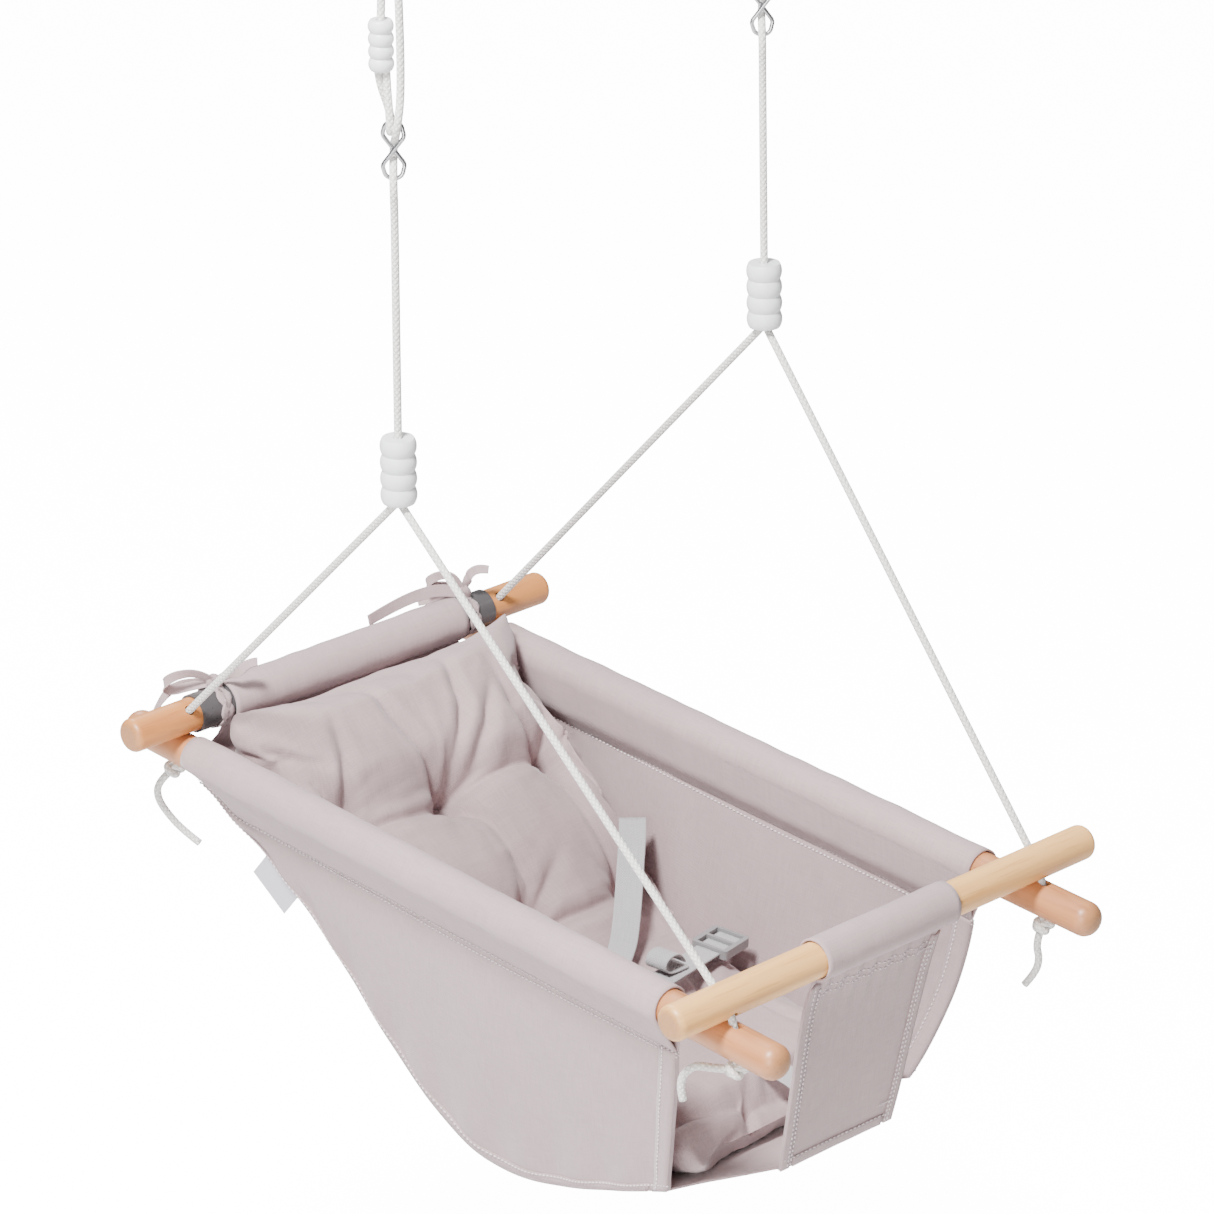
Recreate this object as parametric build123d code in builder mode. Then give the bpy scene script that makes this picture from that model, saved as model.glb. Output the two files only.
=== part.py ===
from build123d import *
import math
import os

os.makedirs("parts", exist_ok=True)

# ---------------------------------------------------------------- driving dimensions (mm)
# The origin is midway between the two hanging rings, level with the inside of their tops.
# X runs from the left side to the right side, +Y to the back of the seat, +Z up.
SIDES = {"left": -1, "right": 1}

DOWEL_D = 25.0
RAIL_END_ROUND = 10.5
BAR_END_ROUND = 5.5
BAR_LENGTH = 400.0
RAIL_LENGTH = 670.0
RAIL_SPACING = 300.0
BAR_SPACING = 555.0
SEAT_Y = -41.0
RAIL_Z = -730.0
BAR_Z = RAIL_Z + DOWEL_D

ROPE_D = 5.5
ROPE_HOLE_D = 7.5
STRAND_GAP = 0.5
LEG_DROP = 2.0
ROPE_TURN_DROP = 11.0
ROPE_TURN_R = 6.0

RING_WIRE_D = 5.0
RING_INNER_R = 15.0
RING_OFFSET_Y = 17.0
RING_BAR_Z = -(2 * RING_INNER_R + RING_WIRE_D / 2)
RING_CLEARANCE = 0.5

BEAD_R = 12.5
BEAD_GROOVE = 1.6
BEAD_H = 46.5
BEAD_LOBES = 4
BEAD_MOUTH_R = 6.6
BEAD_MOUTH_DEPTH = 14.0
BEAD_MOUTH_FLARE = 3.8
SMALL_BEAD_R = 8.5
SMALL_BEAD_H = 34.0
SMALL_BEAD_SHIFT = -7.0
SMALL_BEAD_OVER_HOOK = 54.4

HOOK_WIRE_D = 3.0
HOOK_HALF_W = 7.4
HOOK_HALF_H = 19.1
HOOK_LIFT = {"left": 247.6, "right": 229.0}
HOOK_WIRE_STEP = 1.7
HOOK_LOOP_TOP = 5.0
HOOK_LOOP_SIDE = 9.9
HOOK_BEND_R = 5.0
HOOK_BUTT_GAP = 0.15

KNOT_R = 8.2
KNOT_HALF_H = 7.0
TAIL_START = 1.02

TUBE_OUTER_R = 14.2
TUBE_LENGTH = 282.0
FIT_GAP = 0.2

CANVAS_T = 1.6
SLEEVE_FRONT_Y = -270.0
SLEEVE_REAR_Y = 221.0
REAR_SLEEVE_HALF = 112.0
CROTCH_TOP_HALF = 63.0
CROTCH_FOOT_HALF = 54.0
CROTCH_SHIFT = -3.0
PANEL_LEAN = 11.2

WEBBING_W = 20.0
WEBBING_T = 1.6

BAR_Y = {"front": SEAT_Y - BAR_SPACING / 2, "rear": SEAT_Y + BAR_SPACING / 2}
# Under each large bead the front and rear ropes part; the two beads are slid to their own heights.
PIVOT = {"left": Vector(-150.0, 3.2, -458.7), "right": Vector(150.0, -39.1, -395.7)}

# Level directions across and out of the plane that both wire hooks lie in.
HOOK_TURN = 43.9
ACROSS = Vector(math.cos(math.radians(HOOK_TURN)), -math.sin(math.radians(HOOK_TURN)), 0)
OUTWARD = Vector(-math.sin(math.radians(HOOK_TURN)), -math.cos(math.radians(HOOK_TURN)), 0)


def save(part, name):
    """Label a finished piece and write its own STEP file."""
    part.label = name
    export_step(part, f"parts/{name}.step")


def rail_x(side):
    return SIDES[side] * RAIL_SPACING / 2


def ring_bar(side):
    """Centre of the bottom of a hanging ring, where its rope hooks over the wire."""
    return Vector(rail_x(side), -SIDES[side] * RING_OFFSET_Y, RING_BAR_Z)


SWING_AXIS = (ring_bar("right") - ring_bar("left")).normalized()
RING_NORMAL = Vector(-SWING_AXIS.Y, SWING_AXIS.X, 0)


def on_rope(side, lift, across=0.0, outward=0.0):
    """A point beside the line from a large bead's foot to its ring, lift mm up that line."""
    line = (ring_bar(side) - PIVOT[side]).normalized()
    return PIVOT[side] + line * lift + ACROSS * across + OUTWARD * outward


def rope_frame(side, lift, across=0.0):
    line = (ring_bar(side) - PIVOT[side]).normalized()
    return Plane(origin=on_rope(side, lift, across), x_dir=ACROSS, z_dir=line)


def corner_radii(points, largest):
    """Radius at each inner point: 0.45 of its shorter run over the tangent of half its turn."""
    radii = []
    for before, corner, after in zip(points, points[1:], points[2:]):
        run_in, run_out = corner - before, after - corner
        half_turn = math.radians(run_in.get_angle(run_out)) / 2
        shorter = min(run_in.length, run_out.length)
        radii.append(min(0.45 * shorter / math.tan(half_turn), largest))
    return radii


def rope(name, points, largest=60.0, thick=ROPE_D):
    """A rope as one tube along straight runs joined by tangent arcs."""
    radii = corner_radii(points, largest)
    with BuildPart() as cord:
        with BuildLine():
            route = FilletPolyline(*points, radius=radii)
        with BuildSketch(Plane(origin=route @ 0, z_dir=route % 0)):
            Circle(thick / 2)
        sweep(path=route)
    length = route.length
    expected = math.pi * (thick / 2) ** 2 * length
    print(name, "length", round(length, 1), "radii", [round(r, 1) for r in radii],
          "volume ratio", round(cord.part.volume / expected, 4))
    save(cord.part, name)
    return length


# ---------------------------------------------------------------- ropes: where each leg runs
def leg_start(side, end):
    """Top of a leg rope, beside its twin in the bead's mouth."""
    step = (ROPE_D + STRAND_GAP) / 2
    return PIVOT[side] + Vector(0, -step if end == "front" else step, -LEG_DROP)


def leg_cross(side, end):
    """Where a leg rope passes through the axis of its crossbar."""
    return Vector(rail_x(side), BAR_Y[end], BAR_Z)


def leg_turn(side, end):
    """Where a leg rope leaves the crossbar and turns down into the rail."""
    way = (leg_cross(side, end) - leg_start(side, end)).normalized()
    return leg_cross(side, end) + way * (ROPE_TURN_DROP / -way.Z)


KNOT_TOP_Z = RAIL_Z - DOWEL_D / 2 - FIT_GAP


def knot_centre(side, end):
    turn = leg_turn(side, end)
    return Vector(turn.X, turn.Y, KNOT_TOP_Z - KNOT_HALF_H)


# ---------------------------------------------------------------- beech frame
def crossbar(end):
    with BuildPart() as bar:
        with BuildSketch(Plane.YZ.offset(-BAR_LENGTH / 2)):
            with Locations((BAR_Y[end], BAR_Z)):
                Circle(DOWEL_D / 2)
        extrude(amount=BAR_LENGTH)
        fillet(bar.edges().filter_by(GeomType.CIRCLE), BAR_END_ROUND)
        for side in SIDES:
            way = leg_cross(side, end) - leg_start(side, end)
            with BuildSketch(Plane(origin=leg_cross(side, end), z_dir=way)):
                Circle(ROPE_HOLE_D / 2)
            extrude(amount=DOWEL_D, both=True, mode=Mode.SUBTRACT)
    save(bar.part, f"{end}_crossbar")


def rail(side):
    with BuildPart() as dowel:
        with BuildSketch(Plane.XZ.offset(-SEAT_Y - RAIL_LENGTH / 2)):
            with Locations((rail_x(side), RAIL_Z)):
                Circle(DOWEL_D / 2)
        extrude(amount=RAIL_LENGTH)
        fillet(dowel.edges().filter_by(GeomType.CIRCLE), RAIL_END_ROUND)
        for end in BAR_Y:
            turn = leg_turn(side, end)
            with BuildSketch(Plane(origin=(turn.X, turn.Y, RAIL_Z))):
                Circle(ROPE_HOLE_D / 2)
            extrude(amount=DOWEL_D, both=True, mode=Mode.SUBTRACT)
    save(dowel.part, f"{side}_rail")


for end in BAR_Y:
    crossbar(end)
for side in SIDES:
    rail(side)

with BuildPart() as rear_bar_tube:
    with BuildSketch(Plane.YZ.offset(-TUBE_LENGTH / 2)):
        with Locations((BAR_Y["rear"], BAR_Z)):
            Circle(TUBE_OUTER_R)
            Circle(DOWEL_D / 2 + FIT_GAP, mode=Mode.SUBTRACT)
    extrude(amount=TUBE_LENGTH)
save(rear_bar_tube.part, "rear_bar_tube")


# ---------------------------------------------------------------- hanging rings
def hanging_ring(side):
    centre = ring_bar(side) + Vector(0, 0, RING_INNER_R + RING_WIRE_D / 2)
    with BuildPart() as ring:
        with BuildLine(Plane(origin=centre, x_dir=SWING_AXIS, z_dir=RING_NORMAL)) as hoop:
            CenterArc((0, 0), RING_INNER_R + RING_WIRE_D / 2, 0, 360)
        with BuildSketch(Plane(origin=hoop.line @ 0, z_dir=hoop.line % 0)):
            Circle(RING_WIRE_D / 2)
        sweep(path=hoop.line)
    save(ring.part, f"{side}_ring")


# ---------------------------------------------------------------- moulded beads
def bead(name, frame, radius, height, bores, flare):
    """A sleeve of rounded lobes; bores are (radius, from height, to height) along its axis."""
    lobe = height / BEAD_LOBES
    with BuildPart() as sleeve:
        with BuildSketch(Plane(origin=frame.origin, x_dir=frame.x_dir, z_dir=-frame.y_dir)):
            with BuildLine():
                Line((0, 0), (radius - BEAD_GROOVE, 0))
                for step in range(BEAD_LOBES):
                    low, high = step * lobe, (step + 1) * lobe
                    ThreePointArc((radius - BEAD_GROOVE, low), (radius, (low + high) / 2),
                                  (radius - BEAD_GROOVE, high))
                Line((radius - BEAD_GROOVE, height), (0, height))
                Line((0, height), (0, 0))
            make_face()
        revolve(axis=Axis(frame.origin, frame.z_dir))
        for bore_r, low, high in bores:
            with BuildSketch(frame.offset(low)):
                Circle(bore_r)
            extrude(amount=high - low, mode=Mode.SUBTRACT)
        rims = sleeve.edges().filter_by(GeomType.CIRCLE)
        mouth_r = bores[0][0]
        chamfer(rims.sort_by(lambda rim: (rim.arc_center - frame.origin).length + abs(rim.radius - mouth_r))[0],
                flare)
    save(sleeve.part, name)


ROPE_BORE_R = ROPE_D / 2 + 0.4


def large_bead(side):
    bores = [(BEAD_MOUTH_R, 0, BEAD_MOUTH_DEPTH), (ROPE_BORE_R, BEAD_MOUTH_DEPTH, BEAD_H)]
    bead(f"{side}_large_bead", rope_frame(side, 0), BEAD_R, BEAD_H, bores, BEAD_MOUTH_FLARE)


EYE_MOUTH_R = 6.15
EYE_MOUTH_DEPTH = 16.0
EYE_MOUTH_FLARE = 0.4


def small_bead(side):
    bores = [(EYE_MOUTH_R, 0, EYE_MOUTH_DEPTH), (ROPE_BORE_R, EYE_MOUTH_DEPTH, SMALL_BEAD_H)]
    frame = rope_frame(side, HOOK_LIFT[side] + SMALL_BEAD_OVER_HOOK, SMALL_BEAD_SHIFT)
    bead(f"{side}_small_bead", frame, SMALL_BEAD_R, SMALL_BEAD_H, bores, EYE_MOUTH_FLARE)


# ---------------------------------------------------------------- figure-eight wire hooks
def wire_hook(side):
    """Figure eight bent from one wire: its ends butt where one diagonal passes over the other."""
    w, h, step = HOOK_HALF_W, HOOK_HALF_H, HOOK_WIRE_STEP
    outline = [(0, 0, step), (-w, -HOOK_LOOP_SIDE, step), (-HOOK_LOOP_TOP, -h, 0), (HOOK_LOOP_TOP, -h, 0),
               (w, -HOOK_LOOP_SIDE, -step), (-w, HOOK_LOOP_SIDE, -step), (-HOOK_LOOP_TOP, h, 0),
               (HOOK_LOOP_TOP, h, 0), (w, HOOK_LOOP_SIDE, step), (0, HOOK_BUTT_GAP, step)]
    points = [on_rope(side, HOOK_LIFT[side] + up, across, outward) for across, up, outward in outline]
    with BuildPart() as hook:
        with BuildLine():
            wire = FilletPolyline(*points, radius=corner_radii(points, HOOK_BEND_R))
        with BuildSketch(Plane(origin=wire @ 0, z_dir=wire % 0)):
            Circle(HOOK_WIRE_D / 2)
        sweep(path=wire)
    save(hook.part, f"{side}_hook")


# ---------------------------------------------------------------- hanging ropes
ROPE_END_LIFT = 12.0
HOOK_WEAVE_OUT = 7.3
HOOK_WEAVE_BACK = 9.7
WEAVE_TURN_R = 7.0
UP_STRAND = 6.2
WEAVE_SIDE = 2.8


def hanging_rope(side):
    """Up from the large bead, through the hook, over the ring and down to the small bead."""
    reach = (ring_bar(side) - PIVOT[side]).length
    hook = HOOK_LIFT[side]
    bead_top = hook + SMALL_BEAD_OVER_HOOK + SMALL_BEAD_H
    over = RING_WIRE_D / 2 + RING_CLEARANCE + ROPE_D / 2
    near, far = RING_NORMAL * -over, RING_NORMAL * over
    top = ring_bar(side) + Vector(0, 0, over)
    points = [
        on_rope(side, ROPE_END_LIFT),
        on_rope(side, hook - HOOK_HALF_H - 24),
        on_rope(side, hook - HOOK_HALF_H, 0, HOOK_WEAVE_OUT),
        on_rope(side, hook, -0.6, -HOOK_WEAVE_BACK),
        on_rope(side, hook + HOOK_HALF_H - 4, WEAVE_SIDE, HOOK_WEAVE_BACK),
        on_rope(side, hook + HOOK_HALF_H + 24, UP_STRAND, 0),
        on_rope(side, reach - 30) + near,
        top + near,
        top + far,
        on_rope(side, reach - 30) + far,
        on_rope(side, bead_top + 8, SMALL_BEAD_SHIFT),
        on_rope(side, bead_top - SMALL_BEAD_H / 2 + 3, SMALL_BEAD_SHIFT),
    ]
    return rope(f"{side}_hanging_rope", points, WEAVE_TURN_R)


EYE_HALF = ROPE_D / 2 + STRAND_GAP / 2
EYE_TURN_R = 4.2
EYE_SIDE = -1.8


def eye_rope(side):
    """The small loop under the small bead that holds the top of the wire hook."""
    wire_lift = HOOK_LIFT[side] + HOOK_HALF_H
    bead_foot = HOOK_LIFT[side] + SMALL_BEAD_OVER_HOOK
    under = HOOK_WIRE_D / 2 + ROPE_D / 2 + 0.4
    inside = bead_foot + EYE_MOUTH_DEPTH - 2
    points = [
        on_rope(side, inside, SMALL_BEAD_SHIFT + EYE_HALF, 0),
        on_rope(side, bead_foot - 4, SMALL_BEAD_SHIFT + EYE_HALF, 0.6),
        on_rope(side, wire_lift + 5, EYE_SIDE, under),
        on_rope(side, wire_lift - under, EYE_SIDE, under),
        on_rope(side, wire_lift - under, EYE_SIDE, -under),
        on_rope(side, wire_lift + 5, EYE_SIDE, -under),
        on_rope(side, bead_foot - 4, SMALL_BEAD_SHIFT - EYE_HALF, -0.6),
        on_rope(side, inside, SMALL_BEAD_SHIFT - EYE_HALF, 0),
    ]
    return rope(f"{side}_eye_rope", points, EYE_TURN_R)


def leg_rope(side, end):
    foot = knot_centre(side, end)
    points = [leg_start(side, end), leg_turn(side, end), foot]
    return rope(f"{side}_{end}_rope", points, ROPE_TURN_R)


def knot(side, end):
    centre = knot_centre(side, end)
    with BuildPart() as bundle:
        with BuildSketch(Plane(origin=centre, x_dir=(1, 0, 0), z_dir=(0, -1, 0))):
            Ellipse(KNOT_R, KNOT_HALF_H)
            Rectangle(KNOT_R, 2 * KNOT_HALF_H, align=(Align.MAX, Align.CENTER), mode=Mode.SUBTRACT)
        revolve(axis=Axis(centre, (0, 0, 1)))
        with BuildSketch(Plane(origin=centre)):
            Circle(ROPE_D / 2)
        extrude(amount=KNOT_HALF_H, mode=Mode.SUBTRACT)
    save(bundle.part, f"{side}_{end}_knot")


# Each rope end, from its knot: steps across (left is negative), outward and up.
TAILS = {
    ("left", "front"): [(-5, 0, 0), (-16, 1, 1), (-27, 1, 3), (-35, 0, -5), (-36, 0, -16), (-34, 0, -24)],
    ("right", "front"): [(-2, 1, -7), (-4, 2, -15), (-1, 2, -25), (-3, 1, -37), (-10, 0, -47)],
    ("left", "rear"): [(-4, 0, -4), (-12, 1, -12), (-12, 1, -24), (-5, 1, -36), (6, 0, -50), (18, 0, -60)],
    ("right", "rear"): [(3, 1, -7), (7, 1, -16), (7, 0, -28), (2, 0, -41), (-5, 0, -52)],
}


def tail(side, end):
    """A rope end that starts on the knot's surface."""
    centre = knot_centre(side, end)
    points = [centre + ACROSS * a + OUTWARD * o + Vector(0, 0, up) for a, o, up in TAILS[side, end]]
    way = (points[0] - centre).normalized()
    level = math.hypot(way.X, way.Y)
    points[0] = centre + way * TAIL_START / math.hypot(level / KNOT_R, way.Z / KNOT_HALF_H)
    return rope(f"{side}_{end}_tail", points)


for side in SIDES:
    hanging_ring(side)
    large_bead(side)
    small_bead(side)
    wire_hook(side)
    hanging_rope(side)
    eye_rope(side)
    for end in BAR_Y:
        leg_rope(side, end)
        knot(side, end)
        tail(side, end)


# ---------------------------------------------------------------- canvas seat
# Seam where the side panels meet the seat panel, from the rear bar to the front hem: (y, z).
SEAM = [(236, -745), (197, -763), (157, -786), (96, -838), (44, -908), (-7, -953), (-50, -965),
        (-100, -957), (-167, -932), (-241, -896)]
FRONT_EDGE = [(-256, -815), (SLEEVE_FRONT_Y, -743.5)]
REAR_CORNER = [(SLEEVE_REAR_Y, -743.5)]
CROTCH_FOOT = (-284.0, -886.0)
CANVAS_FOLD_R = 12.0
SLEEVE_GAP = DOWEL_D / 2 + FIT_GAP


def panel_lean(z):
    """How far a side panel has come in from its rail at height z."""
    return (RAIL_Z - z) * math.tan(math.radians(PANEL_LEAN))


def panel_drop(z):
    return (RAIL_Z - z) / math.cos(math.radians(PANEL_LEAN))


def panel_plane(side):
    """The leaning plane of a side panel, with its origin on the rail's axis."""
    down = Vector(-SIDES[side] * panel_lean(RAIL_Z - 1), 0, -1)
    return Plane(origin=(rail_x(side), 0, RAIL_Z), x_dir=(0, 1, 0), z_dir=Vector(0, 1, 0).cross(down))


def side_panel(side):
    outline = [(y, panel_drop(z)) for y, z in SEAM + FRONT_EDGE + REAR_CORNER]
    sleeve_end = Plane.XZ.offset(-SLEEVE_REAR_Y)
    with BuildPart() as panel:
        with BuildSketch(panel_plane(side)):
            with BuildLine():
                Polyline(*outline, close=True)
            make_face()
        extrude(amount=CANVAS_T / 2, both=True)
        with BuildSketch(sleeve_end):
            with Locations((rail_x(side), RAIL_Z)):
                Circle(SLEEVE_GAP + CANVAS_T)
        extrude(amount=SLEEVE_REAR_Y - SLEEVE_FRONT_Y)
        with BuildSketch(sleeve_end):
            with Locations((rail_x(side), RAIL_Z)):
                Circle(SLEEVE_GAP)
        extrude(amount=SLEEVE_REAR_Y - SLEEVE_FRONT_Y, mode=Mode.SUBTRACT)
    save(panel.part, f"{side}_side_panel")


def mirrored(right_edge):
    """A closed outline from the points of its right-hand edge, listed from the top down."""
    return right_edge + [(-x, z) for x, z in reversed(right_edge)]


def hung_sheet(name, profile, front_outline, plan_outline, bar_end, sleeve_r, half_sleeve, shift=0.0):
    """Canvas that follows profile (y, z), cut to two outlines, with a sleeve round a crossbar."""
    with BuildPart() as sheet:
        with BuildSketch(Plane.YZ):
            with BuildLine():
                FilletPolyline(*profile, radius=CANVAS_FOLD_R)
            trace(line_width=CANVAS_T)
        extrude(amount=RAIL_SPACING / 2, both=True)
        with BuildSketch(Plane.XZ):
            with BuildLine():
                Polyline(*front_outline, close=True)
            make_face()
        extrude(amount=RAIL_LENGTH, both=True, mode=Mode.INTERSECT)
        with BuildSketch(Plane.XY):
            with BuildLine():
                Polyline(*plan_outline, close=True)
            make_face()
        extrude(amount=2 * RAIL_Z, mode=Mode.INTERSECT)
        with BuildSketch(Plane.YZ.offset(shift)):
            with Locations((BAR_Y[bar_end], BAR_Z)):
                Circle(sleeve_r + CANVAS_T)
        extrude(amount=half_sleeve, both=True)
        with BuildSketch(Plane.YZ):
            with Locations((BAR_Y[bar_end], BAR_Z)):
                Circle(sleeve_r)
        extrude(amount=RAIL_SPACING, both=True, mode=Mode.SUBTRACT)
    save(sheet.part, name)


def inside_panels(z, gap):
    return RAIL_SPACING / 2 - panel_lean(z) - gap


SEAM_GAP = CANVAS_T / 2 + 0.3
REAR_CORNER_Z = -744.0
REAR_SHOULDER_Z = -722.0
SEAT_LOW_Z = -970.0
seat_front = mirrored([(REAR_SLEEVE_HALF, BAR_Z), (REAR_SLEEVE_HALF, REAR_SHOULDER_Z),
                       (inside_panels(REAR_CORNER_Z, SEAM_GAP), REAR_CORNER_Z),
                       (inside_panels(SEAT_LOW_Z, SEAM_GAP), SEAT_LOW_Z)])
seat_plan = mirrored([(RAIL_SPACING / 2, BAR_Y["rear"] + DOWEL_D), (RAIL_SPACING / 2, -236.0),
                      (CROTCH_FOOT_HALF, CROTCH_FOOT[0])])
seat_profile = [(BAR_Y["rear"], BAR_Z - TUBE_OUTER_R), *SEAM, (CROTCH_FOOT[0] + CANVAS_T, CROTCH_FOOT[1] - 1)]
hung_sheet("seat_panel", seat_profile, seat_front, seat_plan, "rear", TUBE_OUTER_R + FIT_GAP,
           REAR_SLEEVE_HALF)

crotch_top = [(CROTCH_SHIFT + half, z) for half, z in
              mirrored([(CROTCH_TOP_HALF, BAR_Z), (CROTCH_TOP_HALF, BAR_Z - DOWEL_D)])]
crotch_front = crotch_top[:2] + mirrored([(CROTCH_FOOT_HALF, CROTCH_FOOT[1] - 2)]) + crotch_top[2:]
crotch_plan = mirrored([(RAIL_SPACING / 2, SLEEVE_FRONT_Y), (RAIL_SPACING / 2, BAR_Y["front"] - DOWEL_D)])
crotch_profile = [(BAR_Y["front"] + 2, BAR_Z - DOWEL_D / 2), (BAR_Y["front"] + 5, BAR_Z - DOWEL_D), CROTCH_FOOT]
hung_sheet("crotch_panel", crotch_profile, crotch_front, crotch_plan, "front", SLEEVE_GAP,
           CROTCH_TOP_HALF, CROTCH_SHIFT)


# ---------------------------------------------------------------- padded seat and back cushion
CUSHION_PROFILE = [(205, -682), (-18, -861), (-244, -864), (-264, -878), (-246, -889), (-166, -926),
                   (-101, -950), (-51, -958), (-10, -947), (40, -904), (92, -834), (154, -782), (194, -758),
                   (211, -750), (213, -694)]
CUSHION_SIDE = [(138, -676), (138, -708), (132, -722), (132, -744), (101, -952)]
CUSHION_EDGE_R = 9.0

with BuildPart() as cushion:
    with BuildSketch(Plane.YZ):
        with BuildLine():
            Polyline(*CUSHION_PROFILE, close=True)
        make_face()
    extrude(amount=RAIL_SPACING / 2, both=True)
    with BuildSketch(Plane.XZ):
        with BuildLine():
            Polyline(*mirrored(CUSHION_SIDE), close=True)
        make_face()
    extrude(amount=RAIL_LENGTH, both=True, mode=Mode.INTERSECT)
save(cushion.part, "cushion")

for side in SIDES:
    side_panel(side)


# ---------------------------------------------------------------- harness
HARNESS_Z = -854.3
BUCKLE_Y = -78.0
BUCKLE_W = 48.0
BUCKLE_L = 44.0
BUCKLE_H = 13.0
BUTTON_W = 20.0
BUTTON_L = 17.0
BUTTON_RISE = 2.5
BUTTON_WELL = 6.5
BUTTON_GAP = 0.35
TONGUE_SLOT_W = 18.0
ADJUSTER_W = 26.0
ADJUSTER_L = 30.0
ADJUSTER_H = 7.0
ADJUSTER_BAR = 2.6
ADJUSTER_ALONG = 17.0


def webbing(name, start, end, profile, bend):
    """A flat strap in the upright plane from start to end (x, y); profile is (distance, z)."""
    run = Vector(end[0] - start[0], end[1] - start[1], 0)
    face = Plane(origin=(start[0], start[1], 0), x_dir=run, z_dir=Vector(run.Y, -run.X, 0))
    with BuildPart() as strap:
        with BuildSketch(face):
            with BuildLine():
                route = FilletPolyline(*profile, radius=bend) if bend else Line(*profile)
            trace(line_width=WEBBING_T)
        extrude(amount=WEBBING_W / 2, both=True)
    print(name, "length", round(route.length, 1))
    save(strap.part, name)


def waist_ends(side):
    sign = SIDES[side]
    return (sign * 119.0, -62.0), (sign * (BUCKLE_W / 2 + 3), BUCKLE_Y)


def waist_run(side):
    start, end = waist_ends(side)
    return Vector(end[0] - start[0], end[1] - start[1], 0)


def harness_side(side):
    sign = SIDES[side]
    shoulder_start, shoulder_end = (sign * 114.0, 41.0), (sign * 12.0, BUCKLE_Y + BUCKLE_L / 2 + 12)
    reach = Vector(shoulder_end[0] - shoulder_start[0], shoulder_end[1] - shoulder_start[1], 0).length
    webbing(f"{side}_shoulder_strap", shoulder_start, shoulder_end,
            [(0, -802), (33, -822), (70, -841), (104, HARNESS_Z), (reach, HARNESS_Z)], 25.0)
    start, end = waist_ends(side)
    webbing(f"{side}_waist_strap", start, end, [(0, HARNESS_Z), (waist_run(side).length, HARNESS_Z)], 0)


def adjuster(side):
    """A three-bar slide threaded on the waist strap."""
    run = waist_run(side).normalized()
    start, _ = waist_ends(side)
    centre = Vector(start[0], start[1], HARNESS_Z) + run * ADJUSTER_ALONG
    face = Plane(origin=centre, x_dir=run, z_dir=(0, 0, 1))
    window = (ADJUSTER_L - 3 * ADJUSTER_BAR) / 2
    with BuildPart() as slide:
        with BuildSketch(face.offset(-ADJUSTER_H / 2)):
            RectangleRounded(ADJUSTER_L, ADJUSTER_W + 2 * ADJUSTER_BAR, ADJUSTER_BAR)
        extrude(amount=ADJUSTER_H)
        with BuildSketch(face):
            with GridLocations(window + ADJUSTER_BAR, 0, 2, 1):
                Rectangle(window, ADJUSTER_W - ADJUSTER_BAR)
        extrude(amount=ADJUSTER_H, both=True, mode=Mode.SUBTRACT)
        with BuildSketch(face.offset(-WEBBING_T / 2 - BUTTON_GAP)):
            Rectangle(2 * ADJUSTER_L, WEBBING_W + 2 * BUTTON_GAP)
        extrude(amount=WEBBING_T + 2 * BUTTON_GAP, mode=Mode.SUBTRACT)
    save(slide.part, f"{side}_adjuster")


for side in SIDES:
    harness_side(side)
    adjuster(side)

with BuildPart() as buckle:
    with BuildSketch(Plane.XY.offset(HARNESS_Z - BUCKLE_H / 2)):
        with Locations((0, BUCKLE_Y)):
            RectangleRounded(BUCKLE_W, BUCKLE_L, BUCKLE_L / 5)
    extrude(amount=BUCKLE_H)
    fillet(buckle.edges().group_by(Axis.Z)[-1], BUTTON_RISE)
    with BuildSketch(Plane.XY.offset(HARNESS_Z + BUCKLE_H / 2)):
        with Locations((0, BUCKLE_Y)):
            RectangleRounded(BUTTON_W, BUTTON_L, BUTTON_RISE)
    extrude(amount=-BUTTON_WELL, mode=Mode.SUBTRACT)
save(buckle.part, "buckle")

with BuildPart() as release_button:
    with BuildSketch(Plane.XY.offset(HARNESS_Z + BUCKLE_H / 2 - BUTTON_WELL + BUTTON_RISE + BUTTON_GAP)):
        with Locations((0, BUCKLE_Y)):
            RectangleRounded(BUTTON_W - 2 * BUTTON_GAP, BUTTON_L - 2 * BUTTON_GAP, BUTTON_RISE - BUTTON_GAP)
    extrude(amount=BUTTON_WELL - BUTTON_GAP)
    fillet(release_button.edges().group_by(Axis.Z)[-1], 1.0)
save(release_button.part, "release_button")

crotch_start = (0.0, BUCKLE_Y - BUCKLE_L / 2 - 0.3)
webbing("crotch_strap", crotch_start, (0.0, -270.0),
        [(0, HARNESS_Z), (136, HARNESS_Z), (166, -870), (168, -884)], 9.0)


# ---------------------------------------------------------------- ties that hold the cushion to the rear bar
TIE_W = 7.0
TIE_T = 0.9
TIE_X = 120.0
TIE_KNOT = 9.0
# The tape of each bow, from its knot on top of the bar: steps across and up.
TIE_TAPES = {
    "left": [[(0, 0), (-13, 9), (-30, 3), (-36, -7), (-24, -5), (0, 0)], [(0, 0), (12, 7), (27, 20)],
             [(0, 0), (-24, -3), (-36, -14), (-42, -26)]],
    "right": [[(0, 0), (-8, 14), (-19, 13), (-26, 2), (-13, 5), (0, 0)], [(0, 0), (5, 12), (19, 20)],
              [(0, 0), (-12, 1), (-24, -2)]],
}


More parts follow.
